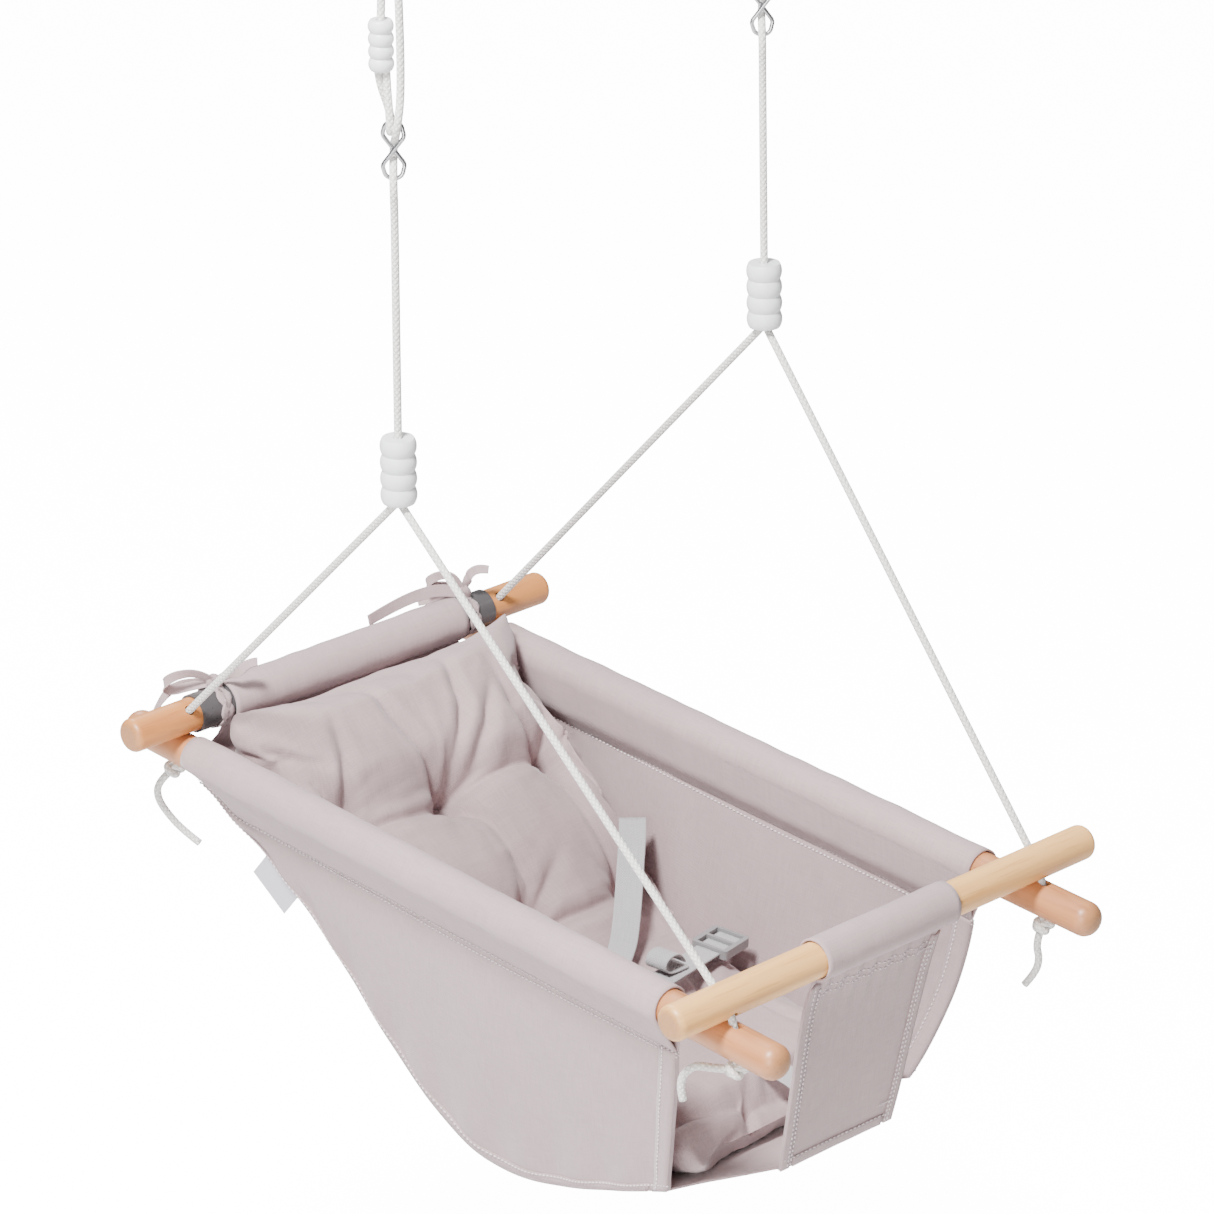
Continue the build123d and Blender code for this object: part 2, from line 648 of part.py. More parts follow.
def cushion_tie(side):
    """A flat tape round the bar's tube, knotted on top and tied in a bow."""
    band_r = TUBE_OUTER_R + FIT_GAP
    knot_middle = Vector(SIDES[side] * TIE_X, BAR_Y["rear"], BAR_Z + band_r + TIE_KNOT / 2)
    front = Plane(origin=knot_middle, x_dir=ACROSS, z_dir=OUTWARD)
    with BuildPart() as bow:
        with BuildSketch(Plane.YZ.offset(SIDES[side] * TIE_X - TIE_W / 2)):
            with Locations((BAR_Y["rear"], BAR_Z)):
                Circle(band_r + TIE_T)
        extrude(amount=TIE_W)
        with BuildSketch(front.offset(-TIE_KNOT / 2)):
            RectangleRounded(TIE_KNOT, TIE_KNOT, TIE_T)
        extrude(amount=TIE_KNOT)
        with BuildSketch(front):
            for tape in TIE_TAPES[side]:
                with BuildLine():
                    Polyline(*tape)
                trace(line_width=TIE_T)
        extrude(amount=TIE_W / 2, both=True)
        with BuildSketch(Plane.YZ):
            with Locations((BAR_Y["rear"], BAR_Z)):
                Circle(band_r)
        extrude(amount=BAR_LENGTH, both=True, mode=Mode.SUBTRACT)
    save(bow.part, f"{side}_cushion_tie")


for side in SIDES:
    cushion_tie(side)


# ---------------------------------------------------------------- blank label sewn into the left seam
LABEL_L = 38.0
LABEL_W = 33.0
LABEL_T = 0.6
LABEL_START = 2.0

seam_top, seam_foot = [Vector(y, panel_drop(z)) for y, z in SEAM[2:4]]
label_along = (seam_foot - seam_top).normalized()
label_out = Vector(label_along.Y, -label_along.X) * LABEL_W
label_corner = seam_top + label_along * LABEL_START
label_end = label_corner + label_along * LABEL_L

with BuildPart() as label:
    with BuildSketch(panel_plane("left").offset(-LABEL_T / 2)):
        with BuildLine():
            Polyline(label_corner, label_end, label_end + label_out, label_corner + label_out, close=True)
        make_face()
    extrude(amount=LABEL_T)
save(label.part, "label")
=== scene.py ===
"""Toddler bucket swing: looks for the CAD frame. Lengths are in metres; lists in mm are scaled by MM."""
import math

import bpy
from mathutils import Matrix, Vector, noise


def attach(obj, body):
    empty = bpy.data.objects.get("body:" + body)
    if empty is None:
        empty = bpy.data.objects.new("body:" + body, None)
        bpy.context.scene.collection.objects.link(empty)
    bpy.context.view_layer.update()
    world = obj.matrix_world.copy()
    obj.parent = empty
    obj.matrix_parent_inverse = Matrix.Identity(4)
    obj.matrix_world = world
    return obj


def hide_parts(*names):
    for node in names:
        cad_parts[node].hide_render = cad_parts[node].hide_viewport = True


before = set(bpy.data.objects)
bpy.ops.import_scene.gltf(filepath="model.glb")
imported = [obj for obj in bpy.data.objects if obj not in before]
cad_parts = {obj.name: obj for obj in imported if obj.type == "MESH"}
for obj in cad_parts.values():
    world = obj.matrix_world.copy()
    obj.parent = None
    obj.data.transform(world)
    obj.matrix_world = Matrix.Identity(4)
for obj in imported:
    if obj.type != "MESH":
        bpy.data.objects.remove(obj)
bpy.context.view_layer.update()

SIDES = {"left": -1, "right": 1}
ENDS = ("front", "rear")
MM = 0.001


# ---------------- camera
CAMERA_PLACE = (-2.3173, -2.4556, 0.9718)
CAMERA_FORWARD = Vector((0.62967, 0.65523, -0.41737)).normalized()
CAMERA_UP = Vector((0.27092, 0.31831, 0.90845))
CAMERA_LENS = 158.15


def add_camera():
    right = CAMERA_FORWARD.cross(CAMERA_UP).normalized()
    up = right.cross(CAMERA_FORWARD)
    lens = bpy.data.cameras.new("camera")
    lens.lens = CAMERA_LENS
    lens.sensor_width = 36.0
    lens.clip_end = 50.0
    camera = bpy.data.objects.new("camera", lens)
    bpy.context.scene.collection.objects.link(camera)
    turn = Matrix((right, up, -CAMERA_FORWARD)).transposed().to_4x4()
    camera.matrix_world = Matrix.Translation(CAMERA_PLACE) @ turn
    bpy.context.scene.camera = camera


add_camera()


# ---------------- shader helpers
class Shader:
    """A material or node group being wired up."""

    def __init__(self, tree):
        self.tree = tree

    def node(self, kind, **settings):
        made = self.tree.nodes.new(kind)
        for name, value in settings.items():
            setattr(made, name, value)
        return made

    def link(self, source, target):
        self.tree.links.new(source, target)

    def feed(self, socket, value):
        if isinstance(value, bpy.types.NodeSocket):
            self.link(value, socket)
        else:
            socket.default_value = value

    def math(self, operation, first, second=None, third=None, clamp=False):
        made = self.node("ShaderNodeMath", operation=operation, use_clamp=clamp)
        for socket, value in zip(made.inputs, (first, second, third)):
            if value is not None:
                self.feed(socket, value)
        return made.outputs[0]

    def mix(self, share, first, second, blend="MIX"):
        made = self.node("ShaderNodeMix", data_type="RGBA", blend_type=blend)
        self.feed(made.inputs["Factor"], share)
        self.feed(made.inputs[6], first)
        self.feed(made.inputs[7], second)
        return made.outputs[2]

    def noise(self, where, scale, detail=3.0, roughness=0.5):
        made = self.node("ShaderNodeTexNoise")
        self.link(where, made.inputs["Vector"])
        made.inputs["Scale"].default_value = scale
        made.inputs["Detail"].default_value = detail
        made.inputs["Roughness"].default_value = roughness
        return made.outputs["Fac"]

    def stretch(self, where, scale):
        made = self.node("ShaderNodeMapping")
        self.link(where, made.inputs["Vector"])
        made.inputs["Scale"].default_value = scale
        return made.outputs[0]

    def ramp(self, value, stops):
        made = self.node("ShaderNodeValToRGB")
        self.link(value, made.inputs[0])
        ramp = made.color_ramp
        while len(ramp.elements) < len(stops):
            ramp.elements.new(0.5)
        for element, (place, colour) in zip(ramp.elements, stops):
            element.position = place
            element.color = (*colour, 1.0)
        return made.outputs[0]

    def bump(self, height, distance, strength=1.0):
        made = self.node("ShaderNodeBump")
        self.link(height, made.inputs["Height"])
        made.inputs["Distance"].default_value = distance
        made.inputs["Strength"].default_value = strength
        return made.outputs[0]


def new_material(name, look):
    """A material with a Principled surface; look is the colour shown in a plain view."""
    material = bpy.data.materials.new(name)
    material.use_nodes = True
    material.diffuse_color = (*look, 1.0)
    material.node_tree.nodes.clear()
    shader = Shader(material.node_tree)
    surface = shader.node("ShaderNodeBsdfPrincipled")
    output = shader.node("ShaderNodeOutputMaterial")
    shader.link(surface.outputs[0], output.inputs[0])
    place = shader.node("ShaderNodeTexCoord")
    return material, shader, surface, place


def group(name, inputs, outputs):
    tree = bpy.data.node_groups.new(name, "ShaderNodeTree")
    for label, kind, value in inputs:
        socket = tree.interface.new_socket(label, in_out="INPUT", socket_type=kind)
        if value is not None:
            socket.default_value = value
    for label, kind in outputs:
        tree.interface.new_socket(label, in_out="OUTPUT", socket_type=kind)
    shader = Shader(tree)
    return tree, shader, shader.node("NodeGroupInput"), shader.node("NodeGroupOutput")


def use_group(shader, tree, **values):
    made = shader.node("ShaderNodeGroup", node_tree=tree)
    for label, value in values.items():
        shader.feed(made.inputs[label], value)
    return made


# ---------------- shared surface effects
def weave_group():
    """Plain weave from a UV in metres: thread height and a soft fleck."""
    tree, shader, given, result = group(
        "plain_weave",
        [("UV", "NodeSocketVector", None), ("Threads", "NodeSocketFloat", 1500.0)],
        [("Height", "NodeSocketFloat"), ("Fleck", "NodeSocketFloat")])
    scaled = shader.node("ShaderNodeVectorMath", operation="SCALE")
    shader.link(given.outputs["UV"], scaled.inputs[0])
    shader.link(given.outputs["Threads"], scaled.inputs["Scale"])
    parts = shader.node("ShaderNodeSeparateXYZ")
    shader.link(scaled.outputs[0], parts.inputs[0])
    across = shader.math("SINE", shader.math("MULTIPLY", parts.outputs[0], math.pi))
    along = shader.math("SINE", shader.math("MULTIPLY", parts.outputs[1], math.pi))
    crossing = shader.math("MULTIPLY", across, along)
    shader.link(shader.math("MULTIPLY_ADD", crossing, 0.5, 0.5), result.inputs["Height"])
    warp = shader.noise(shader.stretch(given.outputs["UV"], (1500.0, 60.0, 1.0)), 1.0, 1.0)
    weft = shader.noise(shader.stretch(given.outputs["UV"], (60.0, 1500.0, 1.0)), 1.0, 1.0)
    shader.link(shader.math("MULTIPLY_ADD", shader.math("ADD", warp, weft), 0.5, 0.0), result.inputs["Fleck"])
    return tree


def braid_group():
    """Braided cord from a UV of (turns along, turns round)."""
    tree, shader, given, result = group(
        "braid", [("UV", "NodeSocketVector", None), ("Strands", "NodeSocketFloat", 8.0)],
        [("Height", "NodeSocketFloat")])
    parts = shader.node("ShaderNodeSeparateXYZ")
    shader.link(given.outputs["UV"], parts.inputs[0])
    along = shader.math("MULTIPLY", parts.outputs[0], given.outputs["Strands"])
    round_it = shader.math("MULTIPLY", parts.outputs[1], given.outputs["Strands"])
    one_way = shader.math("MULTIPLY", shader.math("ADD", along, round_it), math.pi / 2)
    other_way = shader.math("MULTIPLY", shader.math("SUBTRACT", along, round_it), math.pi / 2)
    first = shader.math("ABSOLUTE", shader.math("SINE", one_way))
    second = shader.math("ABSOLUTE", shader.math("SINE", other_way))
    shader.link(shader.math("MULTIPLY", first, second), result.inputs["Height"])
    return tree


WEAVE = weave_group()
BRAID = braid_group()


# ---------------- materials
def cloth_material(name, colour, threads=1500.0, weave_depth=0.00012, crease_depth=0.0012):
    material, shader, surface, place = new_material(name, colour)
    weave = use_group(shader, WEAVE, UV=place.outputs["UV"], Threads=threads)
    patch = shader.noise(place.outputs["Object"], 9.0, 4.0, 0.6)
    fleck_tone = shader.math("MULTIPLY_ADD", weave.outputs["Fleck"], 0.55, 0.72)
    fleck_tone = shader.math("MULTIPLY", fleck_tone, shader.math("MULTIPLY_ADD", patch, 0.16, 0.92))
    # painted shade: the valleys between threads get a darker colour, as if shaded, and the thread tops a
    # lighter one
    painted_weave_shade = shader.math("MULTIPLY_ADD", weave.outputs["Height"], 0.18, 0.88)
    tone = shader.math("MULTIPLY", fleck_tone, painted_weave_shade)
    grey = shader.node("ShaderNodeCombineColor")
    for channel in range(3):
        shader.link(tone, grey.inputs[channel])
    shader.link(shader.mix(1.0, (*colour, 1.0), grey.outputs[0], "MULTIPLY"), surface.inputs["Base Color"])
    crease = shader.noise(place.outputs["Object"], 38.0, 5.0, 0.62)
    coarse = shader.bump(crease, crease_depth, 0.35)
    fine = shader.node("ShaderNodeBump")
    shader.link(weave.outputs["Height"], fine.inputs["Height"])
    shader.link(coarse, fine.inputs["Normal"])
    fine.inputs["Distance"].default_value = weave_depth
    fine.inputs["Strength"].default_value = 0.8
    shader.link(fine.outputs[0], surface.inputs["Normal"])
    surface.inputs["Roughness"].default_value = 0.92
    surface.inputs["Specular IOR Level"].default_value = 0.2
    surface.inputs["Sheen Weight"].default_value = 0.25
    surface.inputs["Sheen Roughness"].default_value = 0.5
    return material


def rope_material():
    material, shader, surface, place = new_material("rope", (0.84, 0.83, 0.80))
    braid = use_group(shader, BRAID, UV=place.outputs["UV"], Strands=8.0)
    # painted shade: the grooves between strands get a darker colour, varied at random, and the strand crests
    # the light colour
    dirt_and_groove_shade = shader.noise(place.outputs["Object"], 60.0, 3.0)
    low = shader.mix(dirt_and_groove_shade, (0.50, 0.48, 0.45, 1.0), (0.62, 0.60, 0.57, 1.0))
    share = shader.math("POWER", braid.outputs[0], 0.45)
    shader.link(shader.mix(share, low, (0.86, 0.85, 0.82, 1.0)), surface.inputs["Base Color"])
    shader.link(shader.bump(braid.outputs[0], 0.0006, 0.9), surface.inputs["Normal"])
    surface.inputs["Roughness"].default_value = 0.75
    surface.inputs["Sheen Weight"].default_value = 0.15
    return material


def wood_material(name, axis, light, dark):
    """Beech dowel with its grain along axis (0 or 1) and end faces darkened, partly as darker end grain and
    partly as painted shade.
    """
    material, shader, surface, place = new_material(name, light)
    along = [34.0, 34.0, 34.0]
    along[axis] = 1.6
    stretched = shader.stretch(place.outputs["Object"], along)
    grain = shader.noise(stretched, 1.6, 5.0, 0.6)
    fine_scale = [420.0, 420.0, 420.0]
    fine_scale[axis] = 26.0
    pores = shader.noise(shader.stretch(place.outputs["Object"], fine_scale), 1.0, 2.0)
    colour = shader.ramp(grain, [(0.3, dark), (0.52, light), (0.75, tuple(min(1.0, c * 1.1) for c in light))])
    flecks = shader.ramp(pores, [(0.30, (0.72, 0.62, 0.52)), (0.42, (1.0, 1.0, 1.0))])
    colour = shader.mix(0.55, colour, flecks, "MULTIPLY")
    facing = shader.node("ShaderNodeNewGeometry")
    parts = shader.node("ShaderNodeSeparateXYZ")
    shader.link(facing.outputs["Normal"], parts.inputs[0])
    # end faces darkened: partly the darker end grain, partly painted shade
    end_grain_and_shade_mask = shader.math("POWER", shader.math("ABSOLUTE", parts.outputs[axis]), 2.2, clamp=True)
    end_grain_and_shade_tone = shader.mix(shader.noise(place.outputs["Object"], 500.0, 2.0), (0.30, 0.13, 0.05, 1.0),
                          (0.46, 0.23, 0.10, 1.0))
    shader.link(shader.mix(shader.math("MULTIPLY", end_grain_and_shade_mask, 0.85), colour, end_grain_and_shade_tone),
                surface.inputs["Base Color"])
    shader.link(shader.bump(pores, 0.0001, 0.35), surface.inputs["Normal"])
    surface.inputs["Roughness"].default_value = 0.42
    surface.inputs["Coat Weight"].default_value = 0.15
    surface.inputs["Coat Roughness"].default_value = 0.3
    return material


def plastic_material(name, colour, roughness, translucent=0.0):
    material, shader, surface, place = new_material(name, colour)
    mottle = shader.noise(place.outputs["Object"], 150.0, 3.0)
    shader.link(shader.mix(shader.math("MULTIPLY", mottle, 0.35), (*colour, 1.0),
                           (*[c * 0.8 for c in colour], 1.0)), surface.inputs["Base Color"])
    shader.link(shader.math("MULTIPLY_ADD", mottle, 0.14, roughness - 0.07), surface.inputs["Roughness"])
    shader.link(shader.bump(shader.noise(place.outputs["Object"], 900.0, 2.0), 0.00004, 0.5),
                surface.inputs["Normal"])
    surface.inputs["Subsurface Weight"].default_value = translucent
    surface.inputs["Subsurface Radius"].default_value = (0.01, 0.01, 0.01)
    surface.inputs["Subsurface Scale"].default_value = 0.4
    return material


def steel_material(name, colour, roughness):
    material, shader, surface, place = new_material(name, colour)
    smear = shader.noise(place.outputs["Object"], 220.0, 3.0)
    surface.inputs["Base Color"].default_value = (*colour, 1.0)
    surface.inputs["Metallic"].default_value = 1.0
    shader.link(shader.math("MULTIPLY_ADD", smear, 0.2, roughness - 0.1), surface.inputs["Roughness"])
    shader.link(shader.bump(smear, 0.00005, 0.3), surface.inputs["Normal"])
    return material


MATERIALS = {
    "rope": rope_material(),
    "canvas": cloth_material("canvas", (0.430, 0.318, 0.326)),
    "canvas_cushion": cloth_material("canvas_cushion", (0.400, 0.292, 0.298), crease_depth=0.0022),
    "webbing": cloth_material("webbing", (0.40, 0.39, 0.395), 900.0, 0.0003, 0.0003),
    "label_cloth": cloth_material("label_cloth", (0.64, 0.60, 0.68), 2200.0),
    "thread": cloth_material("thread", (0.74, 0.66, 0.67), 3000.0),
    "beech_rail": wood_material("beech_rail", 1, (0.50, 0.21, 0.085), (0.36, 0.13, 0.045)),
    "beech_front": wood_material("beech_front", 0, (0.84, 0.46, 0.16), (0.62, 0.29, 0.08)),
    "beech_rear": wood_material("beech_rear", 0, (0.56, 0.22, 0.06), (0.38, 0.12, 0.03)),
    "white_plastic": plastic_material("white_plastic", (0.80, 0.81, 0.82), 0.38, 0.3),
    "dark_plastic": plastic_material("dark_plastic", (0.24, 0.235, 0.24), 0.36),
    "button_plastic": plastic_material("button_plastic", (0.36, 0.03, 0.03), 0.35),
    "tube_plastic": plastic_material("tube_plastic", (0.075, 0.070, 0.072), 0.30),
    "bright_steel": steel_material("bright_steel", (0.52, 0.52, 0.54), 0.24),
}


def paint(piece, look):
    piece.data.materials.clear()
    piece.data.materials.append(MATERIALS[look])
    return piece


# ---------------- mesh helpers
def link_mesh(name, verts, faces, uvs=None, smooth=True):
    """A new object from points and faces; uvs is one (u, v) for each point."""
    mesh = bpy.data.meshes.new(name)
    mesh.from_pydata([tuple(v) for v in verts], [], faces)
    if uvs:
        layer = mesh.uv_layers.new(name="UVMap")
        for loop in mesh.loops:
            layer.data[loop.index].uv = uvs[loop.vertex_index]
    mesh.polygons.foreach_set("use_smooth", [smooth] * len(mesh.polygons))
    piece = bpy.data.objects.new(name, mesh)
    bpy.context.scene.collection.objects.link(piece)
    return piece


def apply_modifiers(piece):
    bpy.ops.object.select_all(action="DESELECT")
    bpy.context.view_layer.objects.active = piece
    piece.select_set(True)
    for modifier in list(piece.modifiers):
        bpy.ops.object.modifier_apply(modifier=modifier.name)


def cloth_sheet(name, rows, thickness, look="canvas"):
    """A sheet through rows of points, thickened evenly, with a UV in metres."""
    wide = len(rows[0])
    verts = [point for row in rows for point in row]
    uvs = []
    down = [0.0] * wide
    for index, row in enumerate(rows):
        across = 0.0
        for column, point in enumerate(row):
            across += (point - row[column - 1]).length if column else 0.0
            down[column] += (point - rows[index - 1][column]).length if index else 0.0
            uvs.append((across, down[wide // 2]))
    faces = [(r * wide + c, r * wide + c + 1, (r + 1) * wide + c + 1, (r + 1) * wide + c)
             for r in range(len(rows) - 1) for c in range(wide - 1)]
    piece = link_mesh(name, verts, faces, uvs)
    solid = piece.modifiers.new("thickness", "SOLIDIFY")
    solid.thickness = thickness
    solid.offset = 0.0
    solid.use_even_offset = True
    apply_modifiers(piece)
    return paint(piece, look)


def nurbs_points(points):
    """The points of a smooth curve that has these control points."""
    curve = bpy.data.curves.new("route", "CURVE")
    curve.dimensions = "3D"
    curve.resolution_u = 10
    spline = curve.splines.new("NURBS")
    spline.points.add(len(points) - 1)
    for control, point in zip(spline.points, points):
        control.co = (*point, 1.0)
    spline.use_endpoint_u = True
    spline.order_u = 3
    carrier = bpy.data.objects.new("route", curve)
    bpy.context.scene.collection.objects.link(carrier)
    bpy.context.view_layer.update()
    mesh = bpy.data.meshes.new_from_object(carrier)
    path = [vertex.co.copy() for vertex in mesh.vertices]
    bpy.data.objects.remove(carrier)
    bpy.data.curves.remove(curve)
    bpy.data.meshes.remove(mesh)
    return path


def tube(name, path, radius, round_count=14, closed=False):
    """A round tube along path with a UV of (turns along, turns round)."""
    girth = 2 * math.pi * radius
    verts, uvs, faces = [], [], []
    side = None
    travelled = 0.0
    for index, point in enumerate(path):
        before = path[max(index - 1, 0)]
        after = path[min(index + 1, len(path) - 1)]
        way = (after - before).normalized()
        if side is None:
            side = way.orthogonal().normalized()
        side = (side - way * side.dot(way)).normalized()
        other = way.cross(side)
        travelled += (point - before).length
        for step in range(round_count + 1):
            angle = 2 * math.pi * step / round_count
            verts.append(point + (side * math.cos(angle) + other * math.sin(angle)) * radius)
            uvs.append((travelled / girth, step / round_count))
    ring = round_count + 1
    for index in range(len(path) - 1):
        for step in range(round_count):
            a = index * ring + step
            faces.append((a, a + 1, a + ring + 1, a + ring))
    for index, order in ((0, -1), (len(path) - 1, 1)):
        loop = [index * ring + step for step in range(round_count)]
        faces.append(tuple(loop[::order]))
    return link_mesh(name, verts, faces, uvs)


ROPE_D = 5.5 * MM
PIVOT = {"left": Vector((-150.0, 3.2, -458.7)) * MM, "right": Vector((150.0, -39.1, -395.7)) * MM}
RING_BAR = {"left": Vector((-150.0, 17.0, -32.5)) * MM, "right": Vector((150.0, -17.0, -32.5)) * MM}
HOOK_LIFT = {"left": 0.2476, "right": 0.2290}
HOOK_HALF_H = 0.0191
BEAD_OVER_HOOK = 0.0544
SMALL_BEAD_H = 0.034
SMALL_BEAD_SHIFT = -0.007
TURN = math.radians(43.9)
ACROSS = Vector((math.cos(TURN), -math.sin(TURN), 0))
OUTWARD = Vector((-math.sin(TURN), -math.cos(TURN), 0))
RING_NORMAL = Vector((34, 300, 0)).normalized()
BAR_Y = {"front": -0.3185, "rear": 0.2365}
BAR_Z = -0.705
RAIL_Z = -0.730
KNOT_Z = RAIL_Z - 0.0197


def on_rope(side, lift, across=0.0, outward=0.0):
    """A point beside the line from a large bead's foot to its ring."""
    line = (RING_BAR[side] - PIVOT[side]).normalized()
    return PIVOT[side] + line * lift + ACROSS * across + OUTWARD * outward


def rope(node, points, body):
    """A braided cord through points, which stands for the CAD node."""
    path = nurbs_points(points)
    piece = paint(tube(f"{node}_braid", path, ROPE_D / 2), "rope")
    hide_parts(node)
    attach(piece, body)


def hanging_rope(side):
    reach = (RING_BAR[side] - PIVOT[side]).length
    hook = HOOK_LIFT[side]
    bead_top = hook + BEAD_OVER_HOOK + SMALL_BEAD_H
    near, far = RING_NORMAL * -0.0066, RING_NORMAL * 0.0066
    top = RING_BAR[side] + Vector((0, 0, 0.0070))
    points = [
        on_rope(side, 0.012),
        on_rope(side, 0.045),
        on_rope(side, hook - HOOK_HALF_H - 0.057),
        on_rope(side, hook - HOOK_HALF_H - 0.024),
        on_rope(side, hook - HOOK_HALF_H, 0, 0.0080),
        on_rope(side, hook, -0.0006, -0.0108),
        on_rope(side, hook + HOOK_HALF_H - 0.004, 0.0028, 0.0104),
        on_rope(side, hook + HOOK_HALF_H + 0.024, 0.0062, 0),
        on_rope(side, reach - 0.030) + near,
        top + near,
        top + far,
        on_rope(side, reach - 0.030) + far,
        on_rope(side, bead_top + 0.008, SMALL_BEAD_SHIFT),
        on_rope(side, bead_top - SMALL_BEAD_H / 2 + 0.003, SMALL_BEAD_SHIFT),
    ]
    rope(f"{side}_hanging_rope", points, "suspension")


def eye_rope(side):
    wire = HOOK_LIFT[side] + HOOK_HALF_H
    foot = HOOK_LIFT[side] + BEAD_OVER_HOOK
    under = 0.0050
    inside = foot + 0.014
    points = [
        on_rope(side, inside, SMALL_BEAD_SHIFT + 0.003),
        on_rope(side, foot - 0.004, SMALL_BEAD_SHIFT + 0.003, 0.0006),
        on_rope(side, wire + 0.005, -0.0018, under),
        on_rope(side, wire - 0.0062, -0.0018, under + 0.0005),
        on_rope(side, wire - 0.0062, -0.0018, -under - 0.0005),
        on_rope(side, wire + 0.005, -0.0018, -under),
        on_rope(side, foot - 0.004, SMALL_BEAD_SHIFT - 0.003, -0.0006),
        on_rope(side, inside, SMALL_BEAD_SHIFT - 0.003),
    ]
    rope(f"{side}_eye_rope", points, "suspension")


def leg_turn(side, end):
    start = PIVOT[side] + Vector((0, -0.003 if end == "front" else 0.003, -0.002))
    cross = Vector((SIDES[side] * 0.150, BAR_Y[end], BAR_Z))
    way = (cross - start).normalized()
    return start, way, cross + way * (0.011 / -way.z)


def leg_rope(side, end):
    start, way, turn = leg_turn(side, end)
    foot = Vector((turn.x, turn.y, KNOT_Z))
    points = [start, start + way * 0.033, turn - way * 0.030, turn, foot]
    rope(f"{side}_{end}_rope", points, "seat")


# Each rope end, from its knot: steps across, outward and up.
TAILS = {
    ("left", "front"): [(-7, 0, 0), (-16, 1, 1), (-27, 1, 3), (-35, 0, -5), (-36, 0, -16), (-34, 0, -24)],
    ("right", "front"): [(-2, 1, -6), (-4, 2, -15), (-1, 2, -25), (-3, 1, -37), (-10, 0, -47)],
    ("left", "rear"): [(-5, 0, -5), (-12, 1, -12), (-12, 1, -24), (-5, 1, -36), (6, 0, -50), (18, 0, -60)],
    ("right", "rear"): [(2, 1, -6), (7, 1, -16), (7, 0, -28), (2, 0, -41), (-5, 0, -52)],
}


def rope_end(side, end):
    _, _, turn = leg_turn(side, end)
    centre = Vector((turn.x, turn.y, KNOT_Z))
    points = [centre + (ACROSS * a + OUTWARD * o + Vector((0, 0, up))) * MM for a, o, up in TAILS[side, end]]
    rope(f"{side}_{end}_tail", points, "seat")


def knot(side, end):
    """An overhand knot pulled up tight under the rail."""
    _, _, turn = leg_turn(side, end)
    centre = Vector((turn.x, turn.y, KNOT_Z))
    path = []
    for step in range(73):
        angle = 2 * math.pi * step / 72
        round_way = (2 + math.cos(3 * angle)) * 1.95 * MM
        path.append(centre + ACROSS * round_way * math.cos(2 * angle)
                    + OUTWARD * round_way * math.sin(2 * angle)
                    + Vector((0, 0, 3.1 * MM * math.sin(3 * angle))))
    piece = paint(tube(f"{side}_{end}_knot_turns", path, ROPE_D / 2 * 0.97), "rope")
    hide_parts(f"{side}_{end}_knot")
    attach(piece, "seat")


for side in SIDES:
    hanging_rope(side)
    eye_rope(side)
    for end in ENDS:
        leg_rope(side, end)
        rope_end(side, end)
        knot(side, end)


# ---------------- carried-over CAD nodes
CAD_LOOKS = {"front_crossbar": "beech_front", "rear_crossbar": "beech_rear", "rear_bar_tube": "tube_plastic",
             "buckle": "dark_plastic", "release_button": "button_plastic", "label": "label_cloth"}
PAIRED_LOOKS = {"rail": "beech_rail", "ring": "bright_steel", "hook": "bright_steel",
                "large_bead": "white_plastic", "small_bead": "white_plastic", "adjuster": "dark_plastic"}
for node, look in CAD_LOOKS.items():
    paint(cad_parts[node], look)
for side in SIDES:
    for node, look in PAIRED_LOOKS.items():
        paint(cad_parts[f"{side}_{node}"], look)


# ---------------- canvas seat
LEAN = math.radians(11.2)
CANVAS_T = 1.5 * MM
SLEEVE_R = 14.2 * MM
SEAM_DEPTH = 0.038
SLEEVE_ENDS = (-0.270, 0.221)
SEAM = [(-241, -896), (-167, -932), (-100, -958), (-50, -966), (-7, -954), (44, -908), (96, -838),
        (157, -786), (197, -763)]
SEAM_REAR = (224, -751)
PANEL_COLUMNS = 96
PANEL_ROWS = 40


def resample(path, count):
    """count points evenly spaced along path."""
    lengths = [0.0]
    for before, after in zip(path, path[1:]):
        lengths.append(lengths[-1] + (after - before).length)
    evenly, index = [], 0
    for step in range(count):
        target = lengths[-1] * step / (count - 1)
        while index < len(path) - 2 and lengths[index + 1] < target:
            index += 1
        share = (target - lengths[index]) / max(lengths[index + 1] - lengths[index], 1e-9)
        evenly.append(path[index].lerp(path[index + 1], min(max(share, 0.0), 1.0)))
    return evenly


def smooth_step(value, low, high):
    share = min(max((value - low) / (high - low), 0.0), 1.0)
    return share * share * (3 - 2 * share)


def side_place(side, y, depth, out=0.0):
    """A point of a side panel: y along the rail, depth down from its axis, out from the panel's plane."""
    sign = SIDES[side]
    x = sign * (0.150 - math.sin(LEAN) * depth + math.cos(LEAN) * out)
    return Vector((x, y, RAIL_Z - math.cos(LEAN) * depth - math.sin(LEAN) * out))


def side_normal(side):
    return Vector((SIDES[side] * math.cos(LEAN), 0, -math.sin(LEAN)))


def wrinkle(seed, along, down, size):
    """Soft uneven folds, longer down the cloth than across it."""
    broad = noise.noise(Vector((along * 11, down * 5, seed)))
    narrow = noise.noise(Vector((along * 34 + down * 9, down * 12, seed + 7)))
    return size * (broad + 0.35 * narrow)


def sleeve_outline():
    """The closed top of a side panel, from its inner seam over the rail to its outer seam: (out, depth)."""
    lean_in = math.asin(SLEEVE_R / SEAM_DEPTH)
    steps = 22
    outline = [(-0.0010, SEAM_DEPTH), (-0.0055, SEAM_DEPTH * 0.66)]
    for step in range(steps + 1):
        angle = math.pi - lean_in + (math.pi + 2 * lean_in) * step / steps
        outline.append((SLEEVE_R * math.cos(angle), SLEEVE_R * math.sin(angle)))
    outline += [(0.0085, SEAM_DEPTH * 0.45), (0.0042, SEAM_DEPTH * 0.72), (0.0012, SEAM_DEPTH * 0.9)]
    return outline


